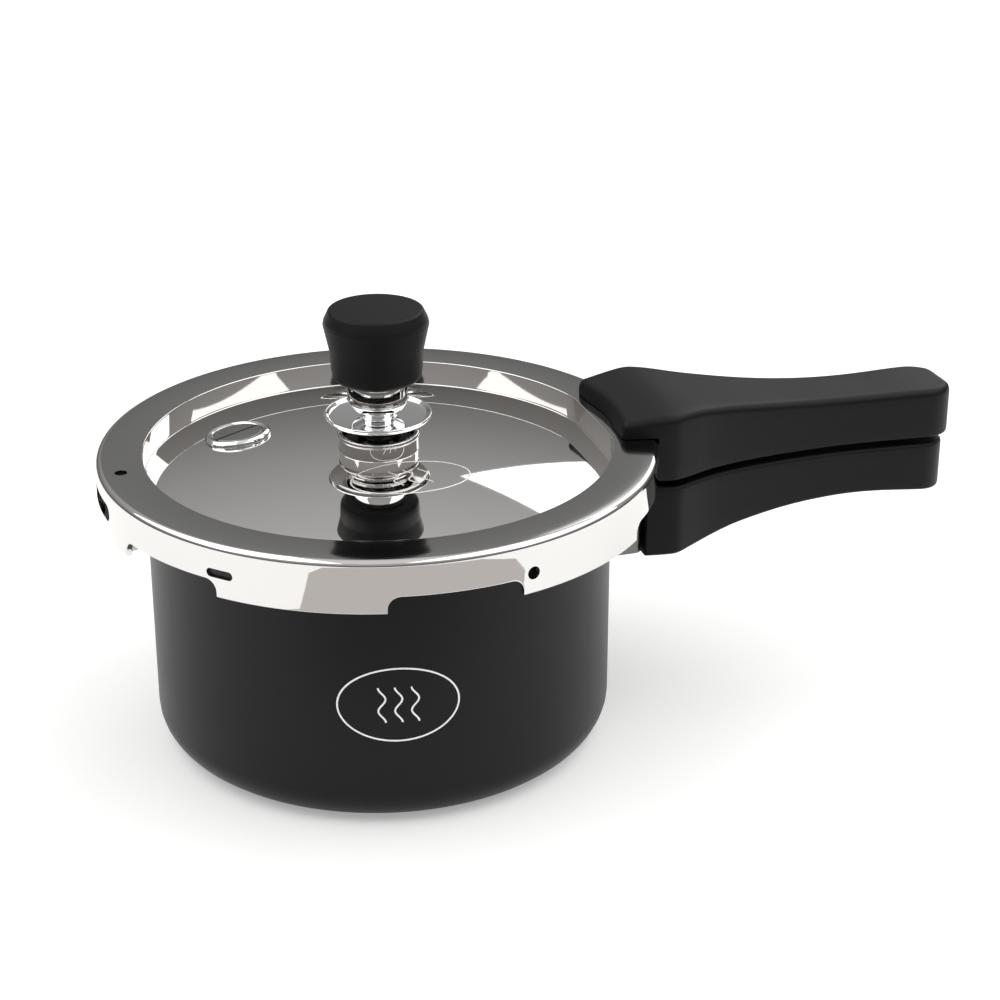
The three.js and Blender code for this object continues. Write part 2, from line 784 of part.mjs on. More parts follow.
piece('lid_shell', lidShell(), 'polished', lid);
piece('lid_bracket', lidBracket(), 'steel', lid);
piece('lid_bracket_rivet_1', lidRivet(-1), 'steel', lid);
piece('lid_bracket_rivet_2', lidRivet(1), 'steel', lid);
piece('lid_handle', lidHandle(), 'phenolic', lid);
const lidScrew = screw(lidScrewHead, 2, lidSeatLevel, tongueTop - 2.5, lidScrewPlace);
piece('lid_handle_screw', lidScrew, 'steel', lid);

piece('vent_tube', ventTube(), 'steel', lid);
const ventSeal = ring(8 + gap, collarRadius - collarWall - gap, collarFloor + gap, lidTop + 2);
piece('vent_seal', ventSeal, 'rubber', lid);
const underCollar = collarFloor - lidSheet;
piece('vent_washer', ring(ventHole, 9, underCollar - gap - 1.2, underCollar - gap), 'rubber', lid);
const ventNut = raised(hexagon(16, ventHole), underCollar - 5.6, underCollar - 2 * gap - 1.2);
piece('vent_nut', ventNut, 'brass', lid);

piece('safety_plug', plugBody(), 'chrome', lid);
piece('safety_plug_core', plugCore(), 'steel', lid);
const plugUnder = -lidSheet - 0.6;
const plugSeal = ring(plugStem + gap, 10, plugUnder - 1.2, plugUnder);
piece('safety_plug_seal', plugPlace(plugSeal), 'rubber', lid);
const plugNut = raised(hexagon(19, plugStem + gap), plugUnder - 5.4, plugUnder - gap - 1.2);
piece('safety_plug_nut', plugPlace(plugNut), 'brass', lid);

piece('weight_body', weightBody(), 'chrome', weight);
piece('weight_saucer', weightSaucer(), 'chrome', weight);
const pinTop = weightBoreTop - gap;
const ventPin = turned([
  [0, pinTop - 2.6],
  [ventBore - 0.5, pinTop - 1.2],
  [weightBore - gap, pinTop - 1.2],
  [weightBore - gap, pinTop],
  [0, pinTop],
], smallSteps);
piece('weight_pin', ventPin, 'steel', weight);
const insert = ring(spigotRadius + gap, insertRadius, knobBottom + 2 * gap, spigotTop - gap);
piece('weight_knob_insert', insert, 'brass', weight);
piece('weight_knob', weightKnob(), 'phenolic', weight);

export default group;
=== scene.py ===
# A stovetop pressure cooker: straight black pot, bayonet lid, paired handles, weight valve.
import math

import bmesh
import bpy
from mathutils import Matrix, Vector
from mathutils.bvhtree import BVHTree


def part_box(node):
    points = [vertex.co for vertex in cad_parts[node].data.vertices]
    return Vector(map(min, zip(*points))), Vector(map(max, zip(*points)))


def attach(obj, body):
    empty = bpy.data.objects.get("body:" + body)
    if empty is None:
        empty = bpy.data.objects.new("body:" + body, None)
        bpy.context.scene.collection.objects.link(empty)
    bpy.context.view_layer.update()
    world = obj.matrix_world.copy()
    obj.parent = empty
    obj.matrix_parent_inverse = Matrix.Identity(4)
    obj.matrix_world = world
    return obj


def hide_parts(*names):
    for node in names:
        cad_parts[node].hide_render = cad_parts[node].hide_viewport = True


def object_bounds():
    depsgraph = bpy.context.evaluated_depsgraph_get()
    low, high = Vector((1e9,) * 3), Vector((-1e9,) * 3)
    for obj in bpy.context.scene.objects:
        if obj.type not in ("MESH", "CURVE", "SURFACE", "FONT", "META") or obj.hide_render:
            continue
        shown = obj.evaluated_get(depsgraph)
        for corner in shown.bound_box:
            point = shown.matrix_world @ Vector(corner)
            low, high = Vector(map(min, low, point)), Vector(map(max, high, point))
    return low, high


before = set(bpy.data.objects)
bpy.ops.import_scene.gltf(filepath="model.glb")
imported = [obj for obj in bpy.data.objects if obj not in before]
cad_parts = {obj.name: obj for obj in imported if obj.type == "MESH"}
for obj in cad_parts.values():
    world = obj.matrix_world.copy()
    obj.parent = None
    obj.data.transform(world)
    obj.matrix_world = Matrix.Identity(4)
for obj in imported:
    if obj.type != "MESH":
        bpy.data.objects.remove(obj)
cadLow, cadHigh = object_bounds()
print("frame loaded")

mm = 0.001
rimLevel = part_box("vent_tube")[1].z - 15 * mm  # the lid's flat rim, 15 mm under the vent's mouth


# ---------- small helpers ----------

def linearColour(hexText):
    parts = [int(hexText[i:i + 2], 16) / 255 for i in (1, 3, 5)]
    bent = [c / 12.92 if c <= 0.04045 else ((c + 0.055) / 1.055) ** 2.4 for c in parts]
    return (*bent, 1.0)


def addNode(tree, kind, settings=None, inputs=None):
    # inputs hold plain values, or (node, output name) pairs that are linked
    node = tree.nodes.new(kind)
    for key, value in (settings or {}).items():
        setattr(node, key, value)
    for key, value in (inputs or {}).items():
        if isinstance(value, tuple) and len(value) == 2 and isinstance(value[0], bpy.types.Node):
            tree.links.new(value[0].outputs[value[1]], node.inputs[key])
        else:
            node.inputs[key].default_value = value
    return node


def addMath(tree, operation, first, second=None):
    inputs = {0: first} if second is None else {0: first, 1: second}
    return addNode(tree, "ShaderNodeMath", {"operation": operation}, inputs)


def setRamp(node, stops):
    elements = node.color_ramp.elements
    while len(elements) > 1:
        elements.remove(elements[-1])
    elements[0].position, elements[0].color = stops[0]
    for position, colour in stops[1:]:
        elements.new(position).color = colour


def newMaterial(name, **sockets):
    material = bpy.data.materials.new(name)
    material.use_nodes = True
    tree = material.node_tree
    shader = tree.nodes["Principled BSDF"]
    for key, value in sockets.items():
        shader.inputs[key].default_value = value
    place = addNode(tree, "ShaderNodeTexCoord")
    return material, tree, shader, place


def roundedPath(corners, steps=6):
    # corners are (r, z, fillet) in mm round a closed loop; a fillet of 0 is one sharp point
    path = []
    count = len(corners)
    for i, (r, z, fillet) in enumerate(corners):
        here = Vector((r, z))
        if fillet == 0:
            path.append((r, z))
            continue
        before = Vector(corners[i - 1][:2]) - here
        after = Vector(corners[(i + 1) % count][:2]) - here
        half = before.angle(after) / 2
        run = min(fillet / math.tan(half), before.length * 0.49, after.length * 0.49)
        start = here + before.normalized() * run
        end = here + after.normalized() * run
        if half > math.radians(88):
            path += [tuple(start.lerp(end, k / steps)) for k in range(steps + 1)]
            continue
        radius = run * math.tan(half)
        centre = here + (before.normalized() + after.normalized()).normalized() * (radius / math.sin(half))
        first = start - centre
        turn = (end - centre).angle_signed(first)
        for k in range(steps + 1):
            angle = turn * k / steps
            spun = Vector((
                first.x * math.cos(angle) - first.y * math.sin(angle),
                first.x * math.sin(angle) + first.y * math.cos(angle),
            ))
            path.append(tuple(centre + spun))
    return path


def meshObject(name, points, faces, sharpAngle=32):
    mesh = bpy.data.meshes.new(name)
    mesh.from_pydata([tuple(p) for p in points], [], faces)
    built = bmesh.new()
    built.from_mesh(mesh)
    bmesh.ops.remove_doubles(built, verts=built.verts, dist=1e-7)
    bmesh.ops.recalc_face_normals(built, faces=built.faces)
    if built.calc_volume(signed=True) < 0:
        bmesh.ops.reverse_faces(built, faces=built.faces)
    built.to_mesh(mesh)
    built.free()
    mesh.shade_smooth()
    mesh.set_sharp_from_angle(angle=math.radians(sharpAngle))
    thing = bpy.data.objects.new(name, mesh)
    bpy.context.collection.objects.link(thing)
    return thing


def ringGrid(columns, closedPath=True):
    # columns are equal lists of points, closed round the ring
    rows = len(columns[0])
    points = [p for column in columns for p in column]
    faces = []
    for i in range(len(columns)):
        j = (i + 1) % len(columns)
        for k in range(rows if closedPath else rows - 1):
            m = (k + 1) % rows
            faces.append((i * rows + k, j * rows + k, j * rows + m, i * rows + m))
    return points, faces


def turnedPoints(path, steps, level=0.0):
    columns = []
    for i in range(steps):
        angle = 2 * math.pi * i / steps
        columns.append([
            (r * mm * math.cos(angle), r * mm * math.sin(angle), z * mm + level) for r, z in path
        ])
    return columns


def turned(name, corners, steps=128, level=0.0, fillets=6, sharpAngle=32):
    # corners on the axis (r = 0) close into poles when doubles are merged
    path = roundedPath(corners, fillets)
    points, faces = ringGrid(turnedPoints(path, steps, level))
    faces = [f for f in faces if not all(abs(points[v][0]) + abs(points[v][1]) < 1e-9 for v in f)]
    return meshObject(name, points, faces, sharpAngle)


def moveMesh(thing, matrix):
    thing.data.transform(matrix)
    thing.data.update()
    return thing


def setFinish(thing, material):
    thing.data.materials.clear()
    thing.data.materials.append(material)


def keepPiece(thing, body, slot, material, *nodes):
    if material is not None:
        setFinish(thing, material)
    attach(thing, body)
    if nodes:
        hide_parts(*nodes)
    return thing


def applyModifiers(thing):
    graph = bpy.context.evaluated_depsgraph_get()
    made = bpy.data.meshes.new_from_object(thing.evaluated_get(graph))
    thing.modifiers.clear()
    thing.data = made
    return thing


def cutWith(thing, cutters):
    for cutter in cutters:
        boolean = thing.modifiers.new("cut", "BOOLEAN")
        boolean.operation = "DIFFERENCE"
        boolean.solver = "EXACT"
        boolean.object = cutter
    applyModifiers(thing)
    for cutter in cutters:
        bpy.data.objects.remove(cutter)
    return thing


def boxCutter(size, centre, turn=0):
    # size and centre are in metres, turned about Z before it is moved
    bpy.ops.mesh.primitive_cube_add(size=1)
    box = bpy.context.object
    box.data.transform(Matrix.Rotation(math.radians(turn), 4, "Z") @ Matrix.Diagonal((*size, 1)))
    box.data.transform(Matrix.Translation(centre))
    return box


# ---------- materials ----------

def addNoise(tree, place, scale, detail):
    return addNode(tree, "ShaderNodeTexNoise", inputs={
        "Vector": (place, "Object"), "Scale": scale, "Detail": detail,
    })


def tintBy(tree, shader, noise, dark, light):
    tint = addNode(tree, "ShaderNodeMix", {"data_type": "RGBA"}, {"Factor": (noise, "Fac")})
    tint.inputs[6].default_value = linearColour(dark)
    tint.inputs[7].default_value = linearColour(light)
    tree.links.new(tint.outputs[2], shader.inputs["Base Color"])


def roughenBy(tree, shader, noise, low, high):
    rough = addNode(tree, "ShaderNodeMapRange", inputs={
        "Value": (noise, "Fac"), "To Min": low, "To Max": high,
    })
    tree.links.new(rough.outputs[0], shader.inputs["Roughness"])


def bumpBy(tree, shader, noise, strength):
    bump = addNode(tree, "ShaderNodeBump", inputs={
        "Height": (noise, "Fac"), "Strength": strength, "Distance": 0.0002,
    })
    tree.links.new(bump.outputs[0], shader.inputs["Normal"])


def hardAnodised():
    # hard-anodised aluminium: near black, a fine dry grain and a soft sheen
    material, tree, shader, place = newMaterial(
        "Hard-anodised aluminium", Metallic=0.0, IOR=1.4, Roughness=0.4,
    )
    shader.inputs["Specular IOR Level"].default_value = 0.27
    cloud = addNoise(tree, place, 18.0, 2.0)
    tintBy(tree, shader, cloud, "#101011", "#151516")
    roughenBy(tree, shader, cloud, 0.36, 0.42)
    bumpBy(tree, shader, addNoise(tree, place, 1600.0, 3.0), 0.08)
    return material


def phenolic():
    # compression-moulded phenolic: satin black with a very fine pebble from the mould
    material, tree, shader, place = newMaterial(
        "Moulded phenolic", Metallic=0.0, IOR=1.5, Roughness=0.42,
    )
    shader.inputs["Specular IOR Level"].default_value = 0.17
    rub = addNoise(tree, place, 30.0, 3.0)
    tintBy(tree, shader, rub, "#0c0c0d", "#101011")
    roughenBy(tree, shader, rub, 0.4, 0.5)
    bumpBy(tree, shader, addNoise(tree, place, 900.0, 2.0), 0.1)
    return material


def hazedMetal(name, tone, rough, scale=120.0, detail=3.0, spread=0.25):
    # bare or plated metal whose roughness wanders a little, as handling and polishing leave it
    material, tree, shader, place = newMaterial(name, Metallic=1.0, Roughness=rough)
    shader.inputs["Base Color"].default_value = linearColour(tone)
    marks = addNoise(tree, place, scale, detail)
    roughenBy(tree, shader, marks, rough * (1 - spread), rough * (1 + spread))
    return material


def polishedLid(name, tone, rough):
    # stainless steel pressed and buffed to a mirror, with wider and fainter polishing marks
    return hazedMetal(name, tone, rough, 40.0, 4.0, 0.2)


def nitrileRubber():
    material, tree, shader, place = newMaterial(
        "Moulded nitrile rubber", Metallic=0.0, IOR=1.5, Roughness=0.6,
    )
    shader.inputs["Base Color"].default_value = linearColour("#0d0d0d")
    bumpBy(tree, shader, addNoise(tree, place, 500.0, 3.0), 0.15)
    return material


def printedInk():
    # white screen-printed ceramic ink, slightly proud of the anodising
    material, tree, shader, place = newMaterial("Screen-printed ink", Roughness=0.5, IOR=1.45)
    tintBy(tree, shader, addNoise(tree, place, 700.0, 2.0), "#e9e9e7", "#ffffff")
    return material


anodising = hardAnodised()
bakelite = phenolic()
rimSteel = polishedLid("Satin-polished stainless rim", "#aaa9a8", 0.09)
bowlSteel = polishedLid("Mirror-polished stainless bowl", "#dfdcda", 0.03)
skirtSteel = polishedLid("Mirror-polished stainless skirt", "#dcdad8", 0.03)
chrome = hazedMetal("Chrome plate", "#e8e8e8", 0.04)
brightSteel = hazedMetal("Bright pressed steel", "#a3a2a0", 0.28)
castAlloy = hazedMetal("Tumbled aluminium bracket", "#74746f", 0.35)
turnedBrass = hazedMetal("Turned brass", "#b8964f", 0.25)
rubber = nitrileRubber()
ink = printedInk()
engraving = hazedMetal("Engraved stainless line", "#f2f2f1", 0.5)
print("materials ready")


# ---------- pot ----------

pot = dict(
    radius=94.3, wall=3.2, floor=4.0, corner=15.0, height=110.1,
    flange=105.0, flangeSheet=3.0, tabRadius=110.0, tabSheet=3.0, tabDrop=5.2, tabAngle=27.0,
    lugs=6,
)


def buildPot():
    p = pot
    inner = p["radius"] - p["wall"]
    under = p["height"] - p["flangeSheet"]
    pitch = 360 / p["lugs"]
    angles = []
    for lug in range(p["lugs"]):
        edge = p["tabAngle"] / 2
        local = [-pitch / 2 + 1.2 * k for k in range(1, int((pitch / 2 - edge) / 1.2))]
        local += [-edge - 0.01, -edge + 0.01]
        local += [-edge + edge * k / 9 for k in range(1, 18)]
        local += [edge - 0.01, edge + 0.01]
        local += [pitch / 2 - 1.2 * k for k in range(int((pitch / 2 - edge) / 1.2) - 1, -1, -1)]
        angles += [(lug * pitch + a, abs(a) < edge) for a in local]
    columns = []
    for angle, tab in angles:
        outer = p["tabRadius"] if tab else p["flange"]
        drop = p["height"] - p["tabDrop"] if tab else under - 0.02
        fold = outer - p["tabSheet"] if tab else outer - 1.2
        corners = [
            (0.0, 0.0, 0), (40.0, 0.0, 0), (p["radius"], 0.0, p["corner"]),
            (p["radius"], 40.0, 0), (p["radius"], 75.0, 0), (p["radius"], under, 2.0),
            (fold, under, 0.3), (fold, drop, 0.2), (outer, drop, 0.5),
            (outer, p["height"], 1.2), (inner + 6, p["height"], 0), (inner, p["height"], 1.2),
            (inner, 60.0, 0), (inner, p["floor"], p["corner"] - p["wall"]),
            (50.0, p["floor"], 0), (0.0, p["floor"], 0),
        ]
        path = roundedPath(corners, 8)
        turn = math.radians(angle)
        columns.append([
            (r * mm * math.cos(turn), r * mm * math.sin(turn), z * mm) for r, z in path
        ])
    points, faces = ringGrid(columns, closedPath=False)
    shell = meshObject("potShell", points, faces)
    return keepPiece(shell, "pot", "hard_anodised_aluminium", anodising, "pot_shell")


buildPot()
print("pot built")


# ---------- lid ----------

lid = dict(
    radius=113.5, sheet=2.5, edge=4.4, recess=94.6, recessCorner=5.5, recessDepth=9.6, rise=7.8,
    crease=0.3, chord=91.7, collar=16.6, collarWall=2.0, collarTop=5.3, collarFloor=-2.9, hole=5.3,
    shallow=-14.3, deep=-21.0, fillet=5.0, lugAngle=33.4, lipAngle=30.0, lipReach=5.4, lugs=6,
)
bowlEdge = lid["recess"] - lid["recessCorner"]


def domeHeight(r):
    return -lid["recessDepth"] + lid["rise"] * (1 - (r / bowlEdge) ** 2)


def chordShift(angle):
    # how far the recess wall stands in from its circle, for the flat under the handle
    if abs(angle) > 40:
        return 0.0
    depth = lid["recess"] - lid["chord"] / math.cos(math.radians(angle))
    return (depth + math.hypot(depth, 0.7)) / 2


def skirtColumns():
    # (angle, depth of the skirt, is there a lip) round the whole lid
    pitch = 360 / lid["lugs"]
    half = lid["lugAngle"] / 2
    lipHalf = lid["lipAngle"] / 2
    tiny = 0.012
    side = [(lipHalf * k / 12, lid["deep"], True) for k in range(12)]
    side += [(lipHalf - tiny, lid["deep"], True), (lipHalf + tiny, lid["deep"], False)]
    side += [(half - tiny, lid["deep"], False)]
    start = half + tiny
    for k in range(9):
        turn = math.radians(90 * k / 8)
        run = math.degrees(lid["fillet"] * (1 - math.cos(turn)) / lid["radius"])
        rise = lid["fillet"] * math.sin(turn)
        side.append((start + run, lid["shallow"] - lid["fillet"] + rise, False))
    last = side[-1][0]
    side += [(last + (pitch / 2 - last) * k / 9, lid["shallow"], False) for k in range(1, 10)]
    mirrored = [(-a, z, lip) for a, z, lip in reversed(side[1:-1])]
    local = mirrored + side
    return [(lug * pitch + a, z, lip) for lug in range(lid["lugs"]) for a, z, lip in local]


def lidPath(angle, bottom, lip):
    s = lid
    turn = (angle + 180) % 360 - 180
    shift = chordShift(turn)
    inner = s["radius"] - s["sheet"]
    channel = s["recess"] + s["sheet"]
    foot = s["collar"] - 0.5
    corners = [
        (s["hole"], s["collarFloor"], 0.3),
        (s["collar"] - s["collarWall"], s["collarFloor"], 1.0),
        (s["collar"] - s["collarWall"], s["collarTop"], 0.5),
        (s["collar"], s["collarTop"], 0.9),
        (s["collar"], s["collarTop"] - 1.3, 0.4),
        (foot, s["collarTop"] - 2.0, 0.5),
        (foot, domeHeight(foot), 0.25),
    ]
    wall = s["recess"] - shift
    end = wall - s["crease"] - 1.2
    steps = 26
    begin = foot + 0.6
    for k in range(steps + 1):
        r = begin + (end - begin) * k / steps
        corners.append((r, domeHeight(r), 0))
    corners += [
        (wall, domeHeight(wall), s["crease"]),
        (wall, 0.0, 0.45),
        (s["radius"] - s["edge"] - 4, 0.0, 0),
        (s["radius"], 0.0, s["edge"]),
    ]
    top = -s["edge"] - 0.6
    corners += [(s["radius"], top + (bottom + 1.2 - top) * k / 4, 0) for k in range(5)]
    reach = inner - s["lipReach"] if lip else inner
    shelf = bottom + s["sheet"]
    corners += [
        (s["radius"], bottom, 0.45),
        (reach, bottom, 0.4),
        (reach, shelf - (0 if lip else 1.0), 0.4),
        (inner, shelf, 0.4),
        (inner, -s["sheet"], s["edge"] - s["sheet"]),
        (channel, -s["sheet"], 0.5),
        (channel, domeHeight(wall) - s["sheet"], 3.0),
    ]
    for k in range(9):
        r = end + (foot - end) * k / 8
        corners.append((r, domeHeight(r) - s["sheet"], 0))
    corners.append((s["hole"], s["collarFloor"] - s["sheet"], 0))
    return roundedPath(corners, 8)


def tube(name, radius, low, high, steps=48):
    corners = [(0, low, 0), (radius, low, 0), (radius, high, 0), (0, high, 0)]
    return turned(name, corners, steps, 0.0, 1)


def skirtCutter(name, length, height, angle, level):
    # a round-ended bar that points along the lid's radius
    half = length / 2 - height / 2
    outline = []
    for k in range(25):
        turn = -math.pi / 2 + math.pi * k / 24
        outline.append((half + height / 2 * math.cos(turn), height / 2 * math.sin(turn)))
    for k in range(25):
        turn = math.pi / 2 + math.pi * k / 24
        outline.append((-half + height / 2 * math.cos(turn), height / 2 * math.sin(turn)))
    near, far = lid["radius"] - 6, lid["radius"] + 3
    points = [(near * mm, y * mm, z * mm) for y, z in outline]
    points += [(far * mm, y * mm, z * mm) for y, z in outline]
    count = len(outline)
    faces = [tuple(range(count)), tuple(reversed(range(count, 2 * count)))]
    faces += [(k, k + count, (k + 1) % count + count, (k + 1) % count) for k in range(count)]
    bar = meshObject(name, points, faces)
    spin = Matrix.Rotation(math.radians(angle), 4, "Z")
    return moveMesh(bar, Matrix.Translation((0, 0, rimLevel + level * mm)) @ spin)


plug = dict(distance=62.7, angle=143.5, radius=13.7, stem=6.0, disc=10.2)
plugSlope = math.atan(2 * lid["rise"] * plug["distance"] / bowlEdge ** 2)
plugPlace = (
    Matrix.Rotation(math.radians(plug["angle"]), 4, "Z")
    @ Matrix.Translation((
        plug["distance"] * mm, 0, rimLevel + domeHeight(plug["distance"]) * mm))
    @ Matrix.Rotation(plugSlope, 4, "Y")
)


def keepNormals(thing, source):
    # after a cut, faces of the old surface take their normals from the uncut surface
    points = [v.co for v in source.vertices]
    polygons = [tuple(p.vertices) for p in source.polygons]
    tree = BVHTree.FromPolygons(points, polygons)
    mesh = thing.data
    corner = source.corner_normals
    starts = [p.loop_start for p in source.polygons]
    normals = [None] * len(mesh.loops)
    for face in mesh.polygons:
        for k in face.loop_indices:
            here = mesh.vertices[mesh.loops[k].vertex_index].co
            inside = here.lerp(face.center, 0.02)
            _, flat, index, distance = tree.find_nearest(inside)
            if distance > 4e-5 or flat.dot(face.normal) < 0.9:
                normals[k] = face.normal.copy()
                continue
            ring = polygons[index]
            weights = [1 / ((points[v] - here).length + 1e-7) ** 2 for v in ring]
            total = sum(weights)
            mixed = Vector((0, 0, 0))
            for step, weight in enumerate(weights):
                mixed += corner[starts[index] + step].vector * (weight / total)
            normals[k] = mixed.normalized()
    mesh.normals_split_custom_set(normals)


def buildLid():
    columns = []
    for angle, bottom, lip in skirtColumns():
        turn = math.radians(angle)
        columns.append([
            (r * mm * math.cos(turn), r * mm * math.sin(turn), rimLevel + z * mm)
            for r, z in lidPath(angle, bottom, lip)
        ])
    points, faces = ringGrid(columns)
    shell = meshObject("lidShell", points, faces, 35)
    cutters = [
        skirtCutter("window", 34, 7, 180, -10),
        skirtCutter("slit", 11.5, 3.5, -135.9, -11.3),
        skirtCutter("pinHole", 5.21, 5.2, -74.6, -12.8),
    ]
    rimHole = tube("rimHole", 2.5, -6, 3)
    cutters.append(moveMesh(rimHole, Matrix.Translation((-104.4 * mm, 0, rimLevel))))
    cutters.append(moveMesh(tube("plugHole", plug["stem"] + 0.3, -6, 4), plugPlace))
    uncut = shell.data.copy()
    cutWith(shell, cutters)
    shell.data.materials.clear()
    for steel in (rimSteel, bowlSteel, skirtSteel):
        shell.data.materials.append(steel)
    for face in shell.data.polygons:
        spot = face.center
        distance = math.hypot(spot.x, spot.y) / mm
        if distance < lid["recess"] + 0.5:
            face.material_index = 1
        elif distance > lid["radius"] - lid["edge"] + 0.02:
            face.material_index = 2
    keepNormals(shell, uncut)
    return keepPiece(shell, "lid", "polished_lid", None, "lid_shell")


buildLid()
print("lid built")


def bedOf(node):
    low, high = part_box(node)
    return low.z / mm, high.z / mm


# ---------- gasket ----------

def buildGasket():
    low, high = bedOf("gasket")
    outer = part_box("gasket")[1].x / mm
    inner = lid["recess"] + lid["sheet"] + 0.3
    lip = 2.6
    corners = [
        (inner, low, 0.3), (outer, low, 1.5), (outer, high, 2.2), (inner, high, 0.5),
        (inner, high - lip, 0.5), (outer - lip - 1.5, high - lip - 0.8, 1.0),
        (outer - lip - 1.5, low + lip + 0.8, 1.0), (inner, low + lip, 0.5),
    ]
    ring = turned("gasketRing", corners, 180)
    return keepPiece(ring, "gasket", "rubber", rubber, "gasket")


buildGasket()


# ---------- vent and collar ----------

vent = dict(radius=5.0, bore=1.6, flange=8.0, neck=4.5)


def buildVent():
    v = vent
    top = 15.0
    floor = lid["collarFloor"]
    corners = [
        (v["bore"], floor - 8.5, 0.2), (v["radius"], floor - 8.5, 0.6), (v["radius"], floor + 0.3, 0.1),
        (v["flange"], floor + 0.3, 0.2), (v["flange"], floor + 2.2, 0.5), (v["neck"], floor + 2.2, 0.6),
        (v["neck"], top - 1, 0.4), (v["neck"] - 0.8, top, 0.3), (v["bore"], top, 0.3),
    ]
    tubePiece = turned("ventTube", corners, 64, rimLevel)
    keepPiece(tubePiece, "lid", "steel", brightSteel, "vent_tube")
    inner = lid["collar"] - lid["collarWall"] - 0.3
    seal = turned("ventSeal", [
        (v["flange"] + 0.3, floor + 0.3, 0.2), (inner, floor + 0.3, 0.2),
        (inner, 2.0, 1.0), (v["flange"] + 0.3, 2.0, 1.0),
    ], 64, rimLevel)
    keepPiece(seal, "lid", "rubber", rubber, "vent_seal")
    low, high = bedOf("vent_washer")
    washer = turned("ventWasher", [
        (v["radius"] + 0.3, low, 0.2), (9.0, low, 0.3), (9.0, high, 0.3), (v["radius"] + 0.3, high, 0.2),
    ], 64)
    keepPiece(washer, "lid", "rubber", rubber, "vent_washer")


buildVent()


# ---------- safety plug ----------

def buildPlug():
    s = plug
    body = turned("safetyPlug", [
        (3.3, -9.5, 0.2), (s["stem"], -9.5, 0.6), (s["stem"], -0.15, 0.1), (s["radius"], -0.15, 0.1),
        (s["radius"], 1.1, 0.9), (s["radius"] - 1.3, 2.3, 1.0), (s["disc"] + 0.3, 1.6, 0.4),
        (s["disc"] + 0.3, 0.6, 0.1), (3.3, 0.6, 0.1),
    ], 128)
    keepPiece(moveMesh(body, plugPlace), "lid", "chrome", chrome, "safety_plug")
    core = turned("safetyPlugCore", [
        (0, -9, 0), (3.0, -9, 0.4), (3.0, 0.8, 0.1), (s["disc"], 0.8, 0.2), (s["disc"], 1.8, 0.25),
        (0, 1.8, 0),
    ], 128)
    slot = boxCutter((0.04, 0.0013, 0.002), (0, 0, 2.0 * mm), 60)
    uncut = core.data.copy()
    cutWith(core, [slot])
    keepNormals(core, uncut)
    keepPiece(moveMesh(core, plugPlace), "lid", "steel", brightSteel, "safety_plug_core")
    seal = turned("safetyPlugSeal", [
        (s["stem"] + 0.3, -4.3, 0.2), (10.0, -4.3, 0.3), (10.0, -3.1, 0.3), (s["stem"] + 0.3, -3.1, 0.2),
    ], 64)
    keepPiece(moveMesh(seal, plugPlace), "lid", "rubber", rubber, "safety_plug_seal")


buildPlug()


# ---------- hexagon nuts ----------

def buildNut(name, flats, bore, low, high, place, node):
    # six flats with the top and bottom corners turned off by a cone
    steps = 72
    columns = []
    for i in range(steps):
        turn = 2 * math.pi * i / steps
        side = (math.degrees(turn) + 30) % 60 - 30
        reach = flats / 2 / math.cos(math.radians(side))
        cut = min(0.9, max(0.15, (reach - flats / 2 + 0.3) * 0.6))
        path = [
            (bore, low), (flats / 2 - 0.3, low), (reach, low + cut), (reach, high - cut),
            (flats / 2 - 0.3, high), (bore, high),
        ]
        columns.append([(r * mm * math.cos(turn), r * mm * math.sin(turn), z * mm) for r, z in path])
    points, faces = ringGrid(columns)
    nut = meshObject(name, points, faces, 25)
    moveMesh(nut, place)
    return keepPiece(nut, "lid", "brass", turnedBrass, node)


ventNutLow, ventNutHigh = bedOf("vent_nut")
buildNut("ventNut", 16, vent["radius"] + 0.3, ventNutLow, ventNutHigh, Matrix.Identity(4), "vent_nut")
buildNut("safetyPlugNut", 19, plug["stem"] + 0.3, -8.5, -4.6, plugPlace, "safety_plug_nut")
print("valve parts built")


# ---------- weight ----------

weight = dict(
    neck=6.3, bore=4.9, boreTop=17.0, foot=3.0, shoulderBottom=14.3, shoulderTop=18.3, radius=12.1,
    knobBottom=27.3, spigot=8.0, spigotTop=40.0, insert=11.0,
    saucer=21.8, plate=12.0, lip=13.4, sheet=1.0, hub=13.7, hubFoot=6.4,
)


def buildWeight():
    w = weight
    body = turned("weightBody", [
        (0, w["boreTop"], 0), (w["bore"], w["boreTop"], 0.3), (w["bore"], w["foot"], 0.3),
        (w["neck"], w["foot"], 0.6), (w["neck"], w["shoulderBottom"], 0.8),
        (w["radius"] - 1.6, w["shoulderBottom"] + 1.4, 1.6), (w["radius"], w["shoulderTop"], 1.5),
        (w["radius"], w["knobBottom"], 0.4), (w["spigot"], w["knobBottom"], 0.2),
        (w["spigot"], w["spigotTop"], 0.5), (0, w["spigotTop"], 0),
    ], 96, rimLevel)
    keepPiece(body, "weight", "chrome", chrome, "weight_body")
    inner = w["neck"] + 0.05
    saucer = turned("weightSaucer", [
        (inner, w["hubFoot"], 0.1), (w["hub"] - 2.0, w["hubFoot"], 1.2), (w["hub"], w["hubFoot"] + 2.2, 1.5),
        (w["hub"], w["plate"] - w["sheet"], 0.6), (w["saucer"] - 1.2, w["plate"] - w["sheet"], 1.6),
        (w["saucer"], w["lip"] - 0.6, 0.4), (w["saucer"] - 0.2, w["lip"], 0.35),
        (w["saucer"] - 0.9, w["lip"], 0.35), (w["saucer"] - 2.2, w["plate"], 1.4),
        (inner + 2.5, w["plate"], 0), (inner + 1.2, w["plate"], 0.8), (inner, w["plate"] + 1.0, 0.1),
    ], 144, rimLevel)
    keepPiece(saucer, "weight", "chrome", chrome, "weight_saucer")


buildWeight()

knob = dict(bottom=15.5, low=18.1, middle=18.9, widest=21.2, top=18.8, height=29.5)


